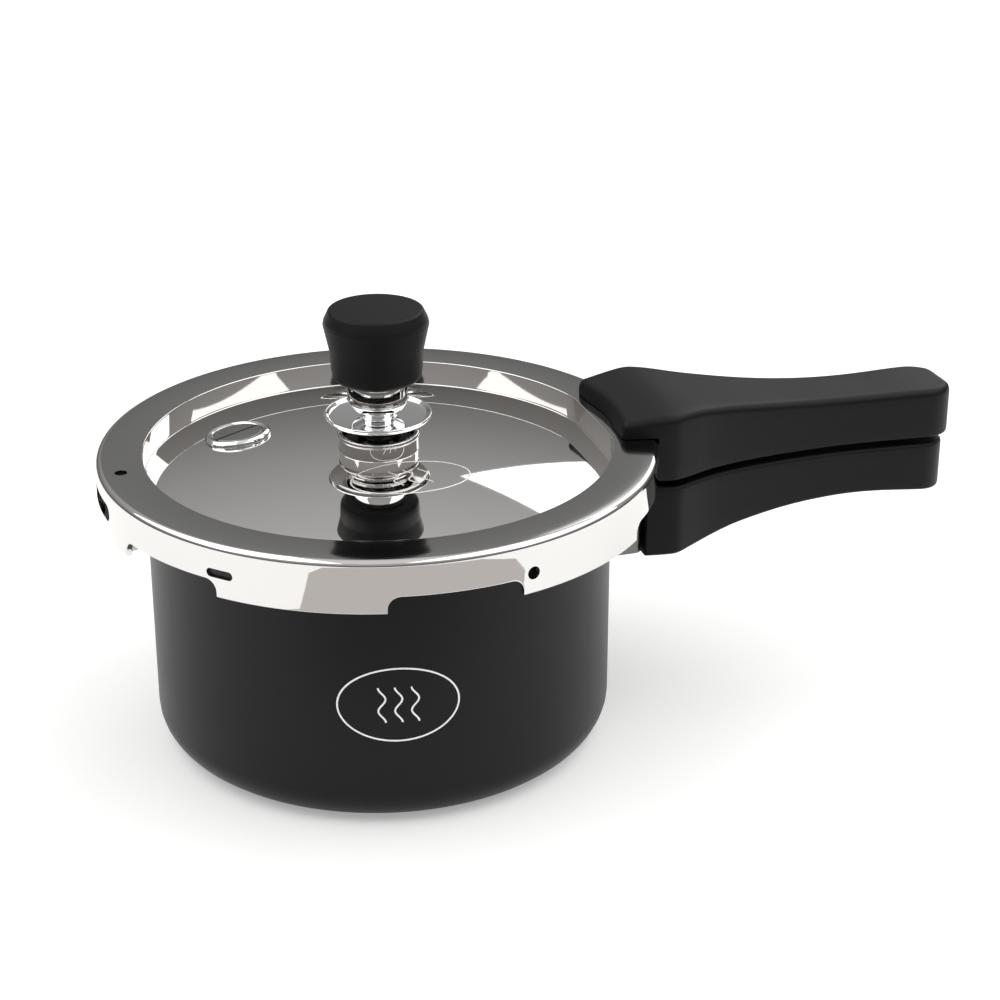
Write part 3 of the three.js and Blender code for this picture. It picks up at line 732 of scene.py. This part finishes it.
def buildKnob():
    low, high = bedOf("weight_knob")
    k = knob
    hollow = weight["insert"] + 0.3
    shape = turned("weightKnob", [
        (0, rimLevel / mm + weight["spigotTop"] + 0.3, 0),
        (hollow, rimLevel / mm + weight["spigotTop"] + 0.3, 0.3), (hollow, low, 0.3),
        (k["bottom"], low, 0.6), (k["low"] - 0.4, low + 1.3, 2.2), (k["low"] + 0.2, low + 5, 3),
        (k["middle"], low + 13, 12), (k["widest"], low + 23.6, 1.2),
        (k["widest"] - 0.35, low + 25.2, 1.0), (k["top"], high, 1.4), (0, high, 0),
    ], 144, 0.0, 8)
    return keepPiece(shape, "weight", "phenolic", bakelite, "weight_knob")


buildKnob()
setFinish(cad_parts["weight_pin"], brightSteel)
setFinish(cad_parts["weight_knob_insert"], turnedBrass)
print("weight built")


# ---------- handles ----------

handle = dict(
    plan=[
        (119.5, 32.3), (133, 25.8), (147, 21.5), (161, 18.8),
        (180, 16.4), (197, 15.4), (215, 15.5), (236, 16.5), (256, 17),
    ],
    root=[(95, 26.9), (119.5, 32.8)],
    cornerBeside=1.2,
    upper=[
        (90, 5.9), (98.3, 6.8), (108, 8), (119, 9), (133, 7.8), (147, 6), (161, 4.2), (181, 2.2),
        (200, 1.1), (219, 0.7), (236, 0.7), (256, 0.2),
    ],
    lower=[
        (95, -53), (112, -53), (122, -52.2), (134, -50.6), (147, -48.2), (160, -46.4), (175, -44.8),
        (190, -43.9), (205, -43.6), (220, -44.2), (237, -45.6), (256, -46.9),
    ],
    cornerEnd=13.0,
)


def smoothCurve(points):
    # natural cubic through the points, returned as a function of x
    xs = [p[0] for p in points]
    ys = [p[1] for p in points]
    count = len(xs)
    gaps = [xs[i + 1] - xs[i] for i in range(count - 1)]
    alpha = [0.0] * count
    for i in range(1, count - 1):
        alpha[i] = 3 * ((ys[i + 1] - ys[i]) / gaps[i] - (ys[i] - ys[i - 1]) / gaps[i - 1])
    mu, z, c = [0.0] * count, [0.0] * count, [0.0] * count
    for i in range(1, count - 1):
        width = 2 * (xs[i + 1] - xs[i - 1]) - gaps[i - 1] * mu[i - 1]
        mu[i] = gaps[i] / width
        z[i] = (alpha[i] - gaps[i - 1] * z[i - 1]) / width
    for i in range(count - 2, 0, -1):
        c[i] = z[i] - mu[i] * c[i + 1]

    def value(x):
        i = max(k for k in range(count - 1) if xs[k] <= max(x, xs[0]))
        t = x - xs[i]
        b = (ys[i + 1] - ys[i]) / gaps[i] - gaps[i] * (c[i + 1] + 2 * c[i]) / 3
        d = (c[i + 1] - c[i]) / (3 * gaps[i])
        return ys[i] + b * t + c[i] * t * t + d * t ** 3

    return value


longSide = smoothCurve(handle["plan"])


def planHalf(x):
    # the side beside the rim widens to a corner, and the long side narrows to the grip
    (x0, y0), (x1, y1) = handle["root"]
    beside = y0 + (y1 - y0) * (x - x0) / (x1 - x0)
    first = handle["plan"][0]
    beyond = longSide(x) if x > first[0] else first[1] + (first[0] - x) * 0.5
    blend = handle["cornerBeside"]
    return (beside + beyond - math.hypot(beside - beyond, blend)) / 2


upperEdge = smoothCurve(handle["upper"])
lowerEdge = smoothCurve(handle["lower"])


def partingEdge(x):
    return -19 - 2.2 * (x - 113.5) / 139.5


def sectionLoop(half, low, high, lowRound, highRound, steps=6):
    # a rounded rectangle in the (y, z) plane, from the bottom middle round to it again
    loop = [(0.0, low)]
    loop += [(half * k / 3 - (lowRound if k == 3 else 0), low) for k in (1, 2)]
    corners = [
        (half - lowRound, low + lowRound, lowRound, -90),
        (half - highRound, high - highRound, highRound, 0),
    ]
    for y, z, radius, start in corners:
        for k in range(steps + 1):
            turn = math.radians(start + 90 * k / steps)
            loop.append((y + radius * math.cos(turn), z + radius * math.sin(turn)))
        if start == -90:
            straight = high - highRound - low - lowRound
            loop += [(half, low + lowRound + straight * k / 4) for k in (1, 2, 3)]
    loop += [(half * k / 3, high) for k in (2, 1)]
    loop.append((0.0, high))
    mirrored = [(-y, z) for y, z in reversed(loop[1:-1])]
    return loop + mirrored


def loftHandle(name, start, tip, low, high, half, lowRound, highRound, rootRound, arcRadius):
    stations = [(start + rootRound * (1 - math.cos(math.radians(11.25 * k))),
                 rootRound * (1 - math.sin(math.radians(11.25 * k)))) for k in range(9)]
    straight = tip - handle["cornerEnd"]
    steps = 130
    first = start + rootRound
    stations += [(first + (straight - first) * k / steps, 0.0) for k in range(1, steps)]
    columns = []
    for x, inset in stations:
        columns.append((x, half(x) - inset, low(x) + inset, high(x) - inset))
    endRound = 3.4
    for k in range(15):
        turn = math.radians(90 * k / 14)
        x = straight + handle["cornerEnd"] * math.sin(turn)
        narrow = handle["cornerEnd"] * (1 - math.cos(turn))
        over = max(0.0, x - (tip - endRound)) / endRound
        drop = endRound * (1 - math.sqrt(max(0.0, 1 - over ** 2)))
        columns.append((x, half(x) - narrow, low(x) + drop, high(x) - drop))
    rings = []
    for x, wide, bottom, top in columns:
        room = min((top - bottom) / 2, wide) - 0.2
        loop = sectionLoop(wide, bottom, top, min(lowRound, room), min(highRound, room))
        fade = max(0.0, 1 - (x - start) / 30)
        ring = []
        for y, z in loop:
            bend = 0.0
            if arcRadius:
                bend = (arcRadius - math.sqrt(arcRadius ** 2 - min(abs(y), 60) ** 2)) * fade
            ring.append(((x - bend) * mm, y * mm, rimLevel + z * mm))
        rings.append(ring)
    count = len(rings[0])
    points = [p for ring in rings for p in ring]
    faces = []
    for i in range(len(rings) - 1):
        for k in range(count):
            m = (k + 1) % count
            faces.append((i * count + k, i * count + m, (i + 1) * count + m, (i + 1) * count + k))
    for ring in (0, len(rings) - 1):
        centre = len(points)
        base = rings[ring]
        points.append(tuple(sum(p[a] for p in base) / count for a in range(3)))
        faces += [(centre, ring * count + k, ring * count + (k + 1) % count) for k in range(count)]
    return meshObject(name, points, faces, 40)


def buildLidHandle():
    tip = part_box("lid_handle")[1].x / mm
    shape = loftHandle(
        "lidHandle", 98.3, tip, partingEdge, upperEdge, planHalf, 1.2, 3.2, 2.4, 98.3,
    )
    cutters = [
        turned("rimRoom", [(0, -40, 0), (113.8, -40, 0), (113.8, 0.3, 0.4), (0, 0.3, 0)], 360, rimLevel),
        moveMesh(tube("screwSeat", 5.2, -30, -16.6), Matrix.Translation((0.140, 0, rimLevel))),
    ]
    # room for the bracket's tongue, then for its plate
    cutters.append(boxCutter((0.0455, 0.0166, 0.0076), (0.13555, 0, rimLevel - 10 * mm)))
    cutters.append(boxCutter((0.012, 0.038, 0.0124), (0.113, 0, rimLevel - 10.65 * mm)))
    cutters.append(moveMesh(tube("screwBore", 2.8, -30, -13), Matrix.Translation((0.140, 0, rimLevel))))
    uncut = shape.data.copy()
    cutWith(shape, cutters)
    keepNormals(shape, uncut)
    keepPiece(shape, "lid", "phenolic", bakelite, "lid_handle")


def buildPotHandle():
    low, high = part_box("pot_handle")
    tip = high.x / mm
    shape = loftHandle(
        "potHandle", low.x / mm, tip, lowerEdge, lambda x: partingEdge(x) - 3.0,
        lambda x: planHalf(x) - 0.4, 1.6, 1.8, 0.8, 0,
    )
    cutters = [
        moveMesh(tube("screwSeat", 5.8, -70, -46), Matrix.Translation((0.134, 0, rimLevel))),
        moveMesh(tube("screwBore", 2.8, -70, -40), Matrix.Translation((0.134, 0, rimLevel))),
    ]
    cutters.append(boxCutter((0.0493, 0.0166, 0.0146), (0.12565, 0, rimLevel - 36 * mm)))
    uncut = shape.data.copy()
    cutWith(shape, cutters)
    keepNormals(shape, uncut)
    keepPiece(shape, "pot", "phenolic", bakelite, "pot_handle")


buildLidHandle()
buildPotHandle()
print("handles built")


# ---------- brackets, rivets and screws ----------

bracket = dict(
    half=27.0, seat=94.6, corner=3.0, tongueHalf=8.0, tongueLow=-43.0, tongueHigh=-29.0, edge=0.5,
)


def buildPotBracket():
    low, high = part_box("pot_bracket")
    b = bracket
    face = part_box("pot_handle")[0].x / mm - 0.3
    lean = math.asin(b["half"] / b["seat"])
    outline = []
    for k in range(25):
        turn = lean - 2 * lean * k / 24
        outline.append((b["seat"] * math.cos(turn), b["seat"] * math.sin(turn)))
    for side in (-1, 1):
        for k in range(7):
            turn = math.radians(15 * k)
            along, across = math.cos(turn), math.sin(turn)
            if side < 0:
                along, across = across, along
            outline.append((
                face - b["corner"] * (1 - along), side * (b["half"] - b["corner"] * (1 - across)),
            ))
    count = len(outline)
    points = [(x * mm, y * mm, z) for z in (low.z, high.z) for x, y in outline]
    faces = [tuple(range(count)), tuple(reversed(range(count, 2 * count)))]
    faces += [(k, (k + 1) % count, (k + 1) % count + count, k + count) for k in range(count)]
    plate = meshObject("potBracket", points, faces)
    tongue = block("tongue", (face - 1, high.x / mm), b["tongueHalf"], (b["tongueLow"], b["tongueHigh"]))
    joint = plate.modifiers.new("join", "BOOLEAN")
    joint.operation = "UNION"
    joint.solver = "EXACT"
    joint.object = tongue
    applyModifiers(plate)
    bpy.data.objects.remove(tongue)
    soften = plate.modifiers.new("soften", "BEVEL")
    soften.width = b["edge"] * mm
    soften.segments = 3
    soften.angle_limit = math.radians(40)
    applyModifiers(plate)
    plate.data.set_sharp_from_angle(angle=math.radians(30))
    keepPiece(plate, "pot", "steel", castAlloy, "pot_bracket")


def addSocket(tree, name, kind, way="INPUT"):
    return tree.interface.new_socket(name, in_out=way, socket_type="NodeSocket" + kind).identifier


def growWith(thing, tree, values):
    # sets the tree's inputs by identifier, evaluates it and keeps only the mesh
    modifier = thing.modifiers.new("grow", "NODES")
    modifier.node_group = tree
    names = {item.name: item.identifier for item in tree.interface.items_tree if item.in_out == "INPUT"}
    for key, value in values.items():
        modifier[names[key]] = value
    return applyModifiers(thing)


def rivetTree():
    # sets copies of one rivet round the axis, each pointing outwards
    tree = bpy.data.node_groups.new("rivetRow", "GeometryNodeTree")
    addSocket(tree, "Geometry", "Geometry")
    for name, kind in (("Rivet", "Object"), ("Count", "Int"), ("Level", "Float"), ("Spread", "Float"),
                       ("Finish", "Material")):
        addSocket(tree, name, kind)
    addSocket(tree, "Geometry", "Geometry", "OUTPUT")
    given = tree.nodes.new("NodeGroupInput")
    line = addNode(tree, "GeometryNodeMeshLine", inputs={"Count": (given, "Count")})
    index = tree.nodes.new("GeometryNodeInputIndex")
    last = addMath(tree, "SUBTRACT", (given, "Count"), 1.0)
    middle = addMath(tree, "MULTIPLY", (last, "Value"), 0.5)
    place = addMath(tree, "SUBTRACT", (index, "Index"), (middle, "Value"))
    angle = addMath(tree, "MULTIPLY", (place, "Value"), (given, "Spread"))
    spin = addNode(tree, "ShaderNodeCombineXYZ", inputs={"Z": (angle, "Value")})
    lift = addNode(tree, "ShaderNodeCombineXYZ", inputs={"Z": (given, "Level")})
    spread = addNode(tree, "GeometryNodeSetPosition", inputs={
        "Geometry": (line, "Mesh"), "Position": (lift, "Vector"),
    })
    source = addNode(tree, "GeometryNodeObjectInfo", inputs={"Object": (given, "Rivet")})
    copies = addNode(tree, "GeometryNodeInstanceOnPoints", inputs={
        "Points": (spread, "Geometry"), "Instance": (source, "Geometry"), "Rotation": (spin, "Vector"),
    })
    whole = addNode(tree, "GeometryNodeRealizeInstances", inputs={"Geometry": (copies, "Instances")})
    dressed = addNode(tree, "GeometryNodeSetMaterial", inputs={
        "Geometry": (whole, "Geometry"), "Material": (given, "Finish"),
    })
    result = tree.nodes.new("NodeGroupOutput")
    tree.links.new(dressed.outputs["Geometry"], result.inputs["Geometry"])
    return tree


rivetRow = rivetTree()


def buildRivets(name, profile, level, spread, body, nodes):
    seed = turned(name + "Seed", profile, 48)
    moveMesh(seed, Matrix.Rotation(math.radians(90), 4, "Y"))
    row = bpy.data.objects.new(name, bpy.data.meshes.new(name))
    bpy.context.collection.objects.link(row)
    growWith(row, rivetRow, {
        "Rivet": seed, "Count": 2, "Level": level, "Spread": math.radians(2 * spread),
        "Finish": brightSteel,
    })
    bpy.data.objects.remove(seed)
    keepPiece(row, body, "steel", brightSteel, *nodes)


def buildFasteners():
    low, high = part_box("pot_bracket_rivet_1")
    middle = (low.z + high.z) / 2
    inside, outside = 90.5, 97.4
    buildRivets("potRivets", [
        (0, inside - 1.9, 0), (3.2, inside - 1.75, 1.5), (5.0, inside - 0.5, 0.6), (5.0, inside, 0.1),
        (2.6, inside, 0.1), (2.6, outside, 0.1), (4.2, outside, 0.1), (4.2, outside + 0.7, 0.4),
        (0, outside + 1.4, 0),
    ], middle, 9.0, "pot", ("pot_bracket_rivet_1", "pot_bracket_rivet_2"))
    low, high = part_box("lid_bracket_rivet_1")
    middle = (low.z + high.z) / 2
    inside, outside = 111.3, 116.6
    buildRivets("lidRivets", [
        (0, inside, 0), (2.0, inside, 0.3), (2.0, outside, 0.1), (3.6, outside, 0.1),
        (3.6, outside + 0.7, 0.3), (2.4, outside + 1.4, 0.6), (0, outside + 1.5, 0),
    ], middle, 6.5, "lid", ("lid_bracket_rivet_1", "lid_bracket_rivet_2"))
    setFinish(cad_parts["lid_bracket"], castAlloy)
    for node in ("pot_handle_screw", "lid_handle_screw"):
        low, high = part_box(node)
        middle = (low.x + high.x) / 2
        head = (high.x - low.x) / 2 / mm
        screw = turned(node + "Fine", [
            (0, low.z / mm, 0), (head - 0.2, low.z / mm, 0.7), (head, low.z / mm + 2.0, 0.2),
            (2.5, low.z / mm + 2.0, 0.1), (2.5, high.z / mm, 0.3), (0, high.z / mm, 0),
        ], 48)
        moveMesh(screw, Matrix.Translation((middle, 0, 0)))
        cross = []
        for turn in (0, 90):
            arm = block("arm", (-2.4, 2.4), 0.45, (-1.2, 1.2))
            spin = Matrix.Rotation(math.radians(turn), 4, "Z")
            moveMesh(arm, Matrix.Translation((middle, 0, low.z - rimLevel)) @ spin)
            cross.append(arm)
        cutWith(screw, cross)
        screw.data.set_sharp_from_angle(angle=math.radians(30))
        keepPiece(screw, "pot" if "pot" in node else "lid", "steel", brightSteel, node)
    low, high = bedOf("pot_handle_washer")
    middle = (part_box("pot_handle_washer")[0].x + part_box("pot_handle_washer")[1].x) / 2
    washer = turned("potHandleWasher", [
        (2.8, low, 0.2), (4.6, low, 0.3), (4.6, high, 0.3), (2.8, high, 0.2),
    ], 64)
    moveMesh(washer, Matrix.Translation((middle, 0, 0)))
    keepPiece(washer, "pot", "steel", brightSteel, "pot_handle_washer")


def block(name, xs, half, zs):
    # a plain box, in mm, with its heights measured from the rim
    (x0, x1), (z0, z1) = xs, zs
    points = [
        (x * mm, y * mm, rimLevel + z * mm) for x in (x0, x1) for y in (-half, half) for z in (z0, z1)
    ]
    faces = [(0, 1, 3, 2), (4, 6, 7, 5), (0, 4, 5, 1), (2, 3, 7, 6), (0, 2, 6, 4), (1, 5, 7, 3)]
    return meshObject(name, points, faces)


buildPotBracket()
buildFasteners()
print("fasteners built")


# ---------- steam emblem, printed on the pot and engraved in the lid ----------

def emblemTree():
    # an oval outline round a row of steam waves, drawn flat
    tree = bpy.data.node_groups.new("steamEmblem", "GeometryNodeTree")
    addSocket(tree, "Geometry", "Geometry")
    for name, kind in (("Width", "Float"), ("Height", "Float"), ("Line", "Float"), ("Waves", "Int"),
                       ("Wave Height", "Float"), ("Wave Pitch", "Float"), ("Finish", "Material")):
        addSocket(tree, name, kind)
    addSocket(tree, "Geometry", "Geometry", "OUTPUT")
    given = tree.nodes.new("NodeGroupInput")
    circle = addNode(tree, "GeometryNodeCurvePrimitiveCircle", inputs={"Resolution": 144, "Radius": 0.5})
    size = addNode(tree, "ShaderNodeCombineXYZ", inputs={
        "X": (given, "Width"), "Y": (given, "Height"), "Z": 1.0,
    })
    oval = addNode(tree, "GeometryNodeTransform", inputs={
        "Geometry": (circle, "Curve"), "Scale": (size, "Vector"),
    })
    line = addNode(tree, "GeometryNodeCurvePrimitiveLine", inputs={
        "Start": (0, -0.5, 0), "End": (0, 0.5, 0),
    })
    fine = addNode(tree, "GeometryNodeResampleCurve", inputs={"Curve": (line, "Curve"), "Count": 36})
    spot = tree.nodes.new("GeometryNodeInputPosition")
    split = addNode(tree, "ShaderNodeSeparateXYZ", inputs={"Vector": (spot, "Position")})
    phase = addMath(tree, "MULTIPLY", (split, "Y"), 3 * math.pi)
    swing = addMath(tree, "SINE", (phase, "Value"))
    sway = addMath(tree, "MULTIPLY", (given, "Wave Pitch"), 0.22)
    push = addMath(tree, "MULTIPLY", (swing, "Value"), (sway, "Value"))
    offset = addNode(tree, "ShaderNodeCombineXYZ", inputs={"X": (push, "Value")})
    waved = addNode(tree, "GeometryNodeSetPosition", inputs={
        "Geometry": (fine, "Curve"), "Offset": (offset, "Vector"),
    })
    tall = addNode(tree, "ShaderNodeCombineXYZ", inputs={
        "X": 1.0, "Y": (given, "Wave Height"), "Z": 1.0,
    })
    wave = addNode(tree, "GeometryNodeTransform", inputs={
        "Geometry": (waved, "Geometry"), "Scale": (tall, "Vector"),
    })
    last = addMath(tree, "SUBTRACT", (given, "Waves"), 1.0)
    back = addMath(tree, "MULTIPLY", (last, "Value"), -0.5)
    first = addMath(tree, "MULTIPLY", (back, "Value"), (given, "Wave Pitch"))
    begin = addNode(tree, "ShaderNodeCombineXYZ", inputs={"X": (first, "Value")})
    pitch = addNode(tree, "ShaderNodeCombineXYZ", inputs={"X": (given, "Wave Pitch")})
    row = addNode(tree, "GeometryNodeMeshLine", inputs={
        "Count": (given, "Waves"), "Start Location": (begin, "Vector"), "Offset": (pitch, "Vector"),
    })
    copies = addNode(tree, "GeometryNodeInstanceOnPoints", inputs={
        "Points": (row, "Mesh"), "Instance": (wave, "Geometry"),
    })
    waves = addNode(tree, "GeometryNodeRealizeInstances", inputs={"Geometry": (copies, "Instances")})
    both = tree.nodes.new("GeometryNodeJoinGeometry")
    tree.links.new(oval.outputs["Geometry"], both.inputs["Geometry"])
    tree.links.new(waves.outputs["Geometry"], both.inputs["Geometry"])
    half = addMath(tree, "MULTIPLY", (given, "Line"), 0.5)
    bead = addNode(tree, "GeometryNodeCurvePrimitiveCircle", inputs={
        "Resolution": 8, "Radius": (half, "Value"),
    })
    drawn = addNode(tree, "GeometryNodeCurveToMesh", inputs={
        "Curve": (both, "Geometry"), "Profile Curve": (bead, "Curve"), "Fill Caps": True,
    })
    whole = addNode(tree, "GeometryNodeRealizeInstances", inputs={"Geometry": (drawn, "Mesh")})
    dressed = addNode(tree, "GeometryNodeSetMaterial", inputs={
        "Geometry": (whole, "Geometry"), "Material": (given, "Finish"),
    })
    result = tree.nodes.new("NodeGroupOutput")
    tree.links.new(dressed.outputs["Geometry"], result.inputs["Geometry"])
    return tree


steamEmblem = emblemTree()
potEmblem = dict(width=47.0, height=31.0, line=0.75, waves=3, waveHeight=15.0, wavePitch=6.4,
                 angle=-101.0, level=54.0, proud=0.05)
lidEmblem = dict(width=48.0, height=27.0, line=0.8, waves=3, waveHeight=13.0, wavePitch=6.0,
                 x=4.7, y=-31.5, proud=0.1)


def drawEmblem(name, design, material):
    thing = bpy.data.objects.new(name, bpy.data.meshes.new(name))
    bpy.context.collection.objects.link(thing)
    growWith(thing, steamEmblem, {
        "Width": design["width"] * mm, "Height": design["height"] * mm, "Line": design["line"] * mm,
        "Waves": design["waves"], "Wave Height": design["waveHeight"] * mm,
        "Wave Pitch": design["wavePitch"] * mm, "Finish": material,
    })
    return thing


def wrapEmblem(thing, design, onto):
    # presses the bead flat and lays it on the surface that onto() describes
    for vertex in thing.data.vertices:
        x, y, z = vertex.co
        height = max(-1.0, min(1.0, z / (design["line"] * mm / 2))) * design["proud"]
        vertex.co = onto(x / mm, y / mm, height)
    thing.data.update()
    built = bmesh.new()
    built.from_mesh(thing.data)
    bmesh.ops.recalc_face_normals(built, faces=built.faces)
    built.to_mesh(thing.data)
    built.free()
    thing.data.shade_smooth()


def buildEmblems():
    def ontoPot(x, y, height):
        turn = math.radians(potEmblem["angle"]) + x / pot["radius"]
        r = pot["radius"] + height
        return Vector((r * mm * math.cos(turn), r * mm * math.sin(turn), (potEmblem["level"] + y) * mm))

    def ontoLid(x, y, height):
        px, py = lidEmblem["x"] + x, lidEmblem["y"] + y
        return Vector((px * mm, py * mm, rimLevel + (domeHeight(math.hypot(px, py)) + height) * mm))

    printed = drawEmblem("potEmblem", potEmblem, ink)
    wrapEmblem(printed, potEmblem, ontoPot)
    keepPiece(printed, "pot", "hard_anodised_aluminium", ink)
    etched = drawEmblem("lidEmblem", lidEmblem, engraving)
    wrapEmblem(etched, lidEmblem, ontoLid)
    keepPiece(etched, "lid", "polished_lid", engraving)


buildEmblems()
print("emblems laid")


# ---------- stage, light and camera ----------

floorSpan = 9.0
bpy.ops.mesh.primitive_plane_add(size=floorSpan, location=(0, 0, cadLow.z - 0.0002))
floor = bpy.context.object
floor.name = "studioFloor"
paper, _, paperShader, _ = newMaterial("White paper sweep", Roughness=0.9)
paperShader.inputs["Base Color"].default_value = linearColour("#e4e4e3")
paperShader.inputs["Specular IOR Level"].default_value = 0.1
paperShader.inputs["Emission Color"].default_value = linearColour("#ffffff")
paperShader.inputs["Emission Strength"].default_value = 0.3
setFinish(floor, paper)

viewTurn = 17.5  # degrees the camera stands round from -Y towards -X
viewRise = 23.82
viewAim = Vector((0.052, 0.0017, 0.09))
viewDistance = 0.9644


def direction(right, rise):
    # right is measured from the line of sight, both in degrees
    turn = math.radians(viewTurn + right)
    up = math.radians(rise)
    return Vector((math.sin(turn) * math.cos(up), math.cos(turn) * math.cos(up), math.sin(up)))


def addCamera():
    camera = bpy.data.cameras.new("camera")
    camera.lens = 83.25
    camera.sensor_width = 36
    camera.clip_start = 0.05
    thing = bpy.data.objects.new("camera", camera)
    bpy.context.collection.objects.link(thing)
    back = direction(180, viewRise)
    thing.location = viewAim + back * viewDistance
    thing.rotation_euler = back.to_track_quat("Z", "Y").to_euler()
    bpy.context.scene.camera = thing


def addWorld():
    # a grey room, dark low down and lighter towards the ceiling
    world = bpy.data.worlds.new("studio")
    bpy.context.scene.world = world
    world.use_nodes = True
    tree = world.node_tree
    place = addNode(tree, "ShaderNodeTexCoord")
    split = addNode(tree, "ShaderNodeSeparateXYZ", inputs={"Vector": (place, "Generated")})
    rise = addMath(tree, "ARCSINE", (split, "Z"))
    scaled = addMath(tree, "DIVIDE", (rise, "Value"), math.pi / 2)
    ramp = addNode(tree, "ShaderNodeValToRGB", inputs={"Fac": (scaled, "Value")})
    stops = [(0.0, 0.09), (5, 0.12), (10, 0.196), (15, 0.237), (20, 0.288), (25, 0.344), (30, 0.395),
             (35, 0.45), (40, 0.5), (50, 0.62), (70, 0.8)]
    setRamp(ramp, [(angle / 90, (tone, tone, tone * 0.99, 1)) for angle, tone in stops])
    back = tree.nodes["Background"]
    tree.links.new(ramp.outputs["Color"], back.inputs["Color"])


def addGreyCard():
    # a grey card on the floor in front, seen only in reflections
    out = direction(180, 0)
    side = Vector((-out.y, out.x, 0))
    near, far, left, right = 0.2, 0.9, -0.125, 0.264
    edges = ((near, left), (near, right), (far, right), (far, left))
    spots = [out * reach + side * wide for reach, wide in edges]
    card = meshObject("greyCard", [(v.x, v.y, cadLow.z + 0.002) for v in spots], [(0, 1, 2, 3)])
    tone = bpy.data.materials.new("Grey card")
    tone.use_nodes = True
    shader = tone.node_tree.nodes["Principled BSDF"]
    shader.inputs["Base Color"].default_value = (0, 0, 0, 1)
    shader.inputs["Specular IOR Level"].default_value = 0
    shader.inputs["Emission Color"].default_value = linearColour("#d2cecb")
    shader.inputs["Emission Strength"].default_value = 1.0
    setFinish(card, tone)
    for ray in ("camera", "diffuse", "transmission", "volume_scatter", "shadow"):
        setattr(card, "visible_" + ray, False)


def addSoftbox(name, centre, across, upward, radiance):
    # across and upward are half edges; the box shines away from across x upward
    normal = across.cross(upward).normalized()
    if normal.dot(centre) < 0:
        across = -across
        normal = -normal
    light = bpy.data.lights.new(name, "AREA")
    light.shape = "RECTANGLE"
    light.size = 2 * across.length
    light.size_y = 2 * upward.length
    light.energy = radiance * math.pi * light.size * light.size_y
    thing = bpy.data.objects.new(name, light)
    bpy.context.collection.objects.link(thing)
    basis = Matrix((across.normalized(), upward.normalized(), normal)).transposed()
    thing.matrix_world = Matrix.Translation(centre) @ basis.to_4x4()
    thing.visible_camera = False
    return thing


def addLights():
    # two long boxes overhead, with a gap between them along the line of sight
    right = Vector((math.cos(math.radians(viewTurn)), -math.sin(math.radians(viewTurn)), 0))
    ahead = Vector((math.sin(math.radians(viewTurn)), math.cos(math.radians(viewTurn)), 0))
    for name, side in (("overheadLeft", -1), ("overheadRight", 1)):
        centre = right * side * 1.55 + Vector((0, 0, 1.75))
        addSoftbox(name, centre, right * 1.2, ahead * 1.4, 1.5)
    reach = 7.0
    corner = direction(3, 30) * reach
    along = (direction(11, 21) * reach - corner).normalized()
    up = direction(8, 38) * reach - corner
    up = (up - along * up.dot(along)).normalized()
    width, height = 3.0, 3.4
    centre = corner + along * width / 2 + up * height / 2
    addSoftbox("backSoftbox", centre, along * width / 2, up * height / 2, 1.7)
    boxes = (("leftSoftbox", -95, 0.6), ("rightSoftbox", 80, 1.0), ("frontSoftbox", 180, 0.6))
    for name, turn, tone in boxes:
        out = direction(turn, 25)
        side = Vector((-out.y, out.x, 0)).normalized()
        box = addSoftbox(name, out * 1.9, side * 0.6, Vector((0, 0, 0.5)), tone)
        box.visible_glossy = False
    # tall strips that only the plated pieces of the valve and plug answer to
    plated = bpy.data.collections.new("platedPieces")
    for name in ("weightBody", "weightSaucer", "safetyPlug"):
        plated.objects.link(bpy.data.objects[name])
    for name, turn in (("leftStrip", -105), ("rightStrip", 100)):
        out = direction(turn, 22)
        side = Vector((-out.y, out.x, 0)).normalized()
        strip = addSoftbox(name, out * 1.7, side * 0.75, Vector((0, 0, 0.65)), 2.6)
        strip.light_linking.receiver_collection = plated


addCamera()
addWorld()
addLights()
addGreyCard()
bpy.context.scene.view_settings.view_transform = "Standard"
print("stage ready")
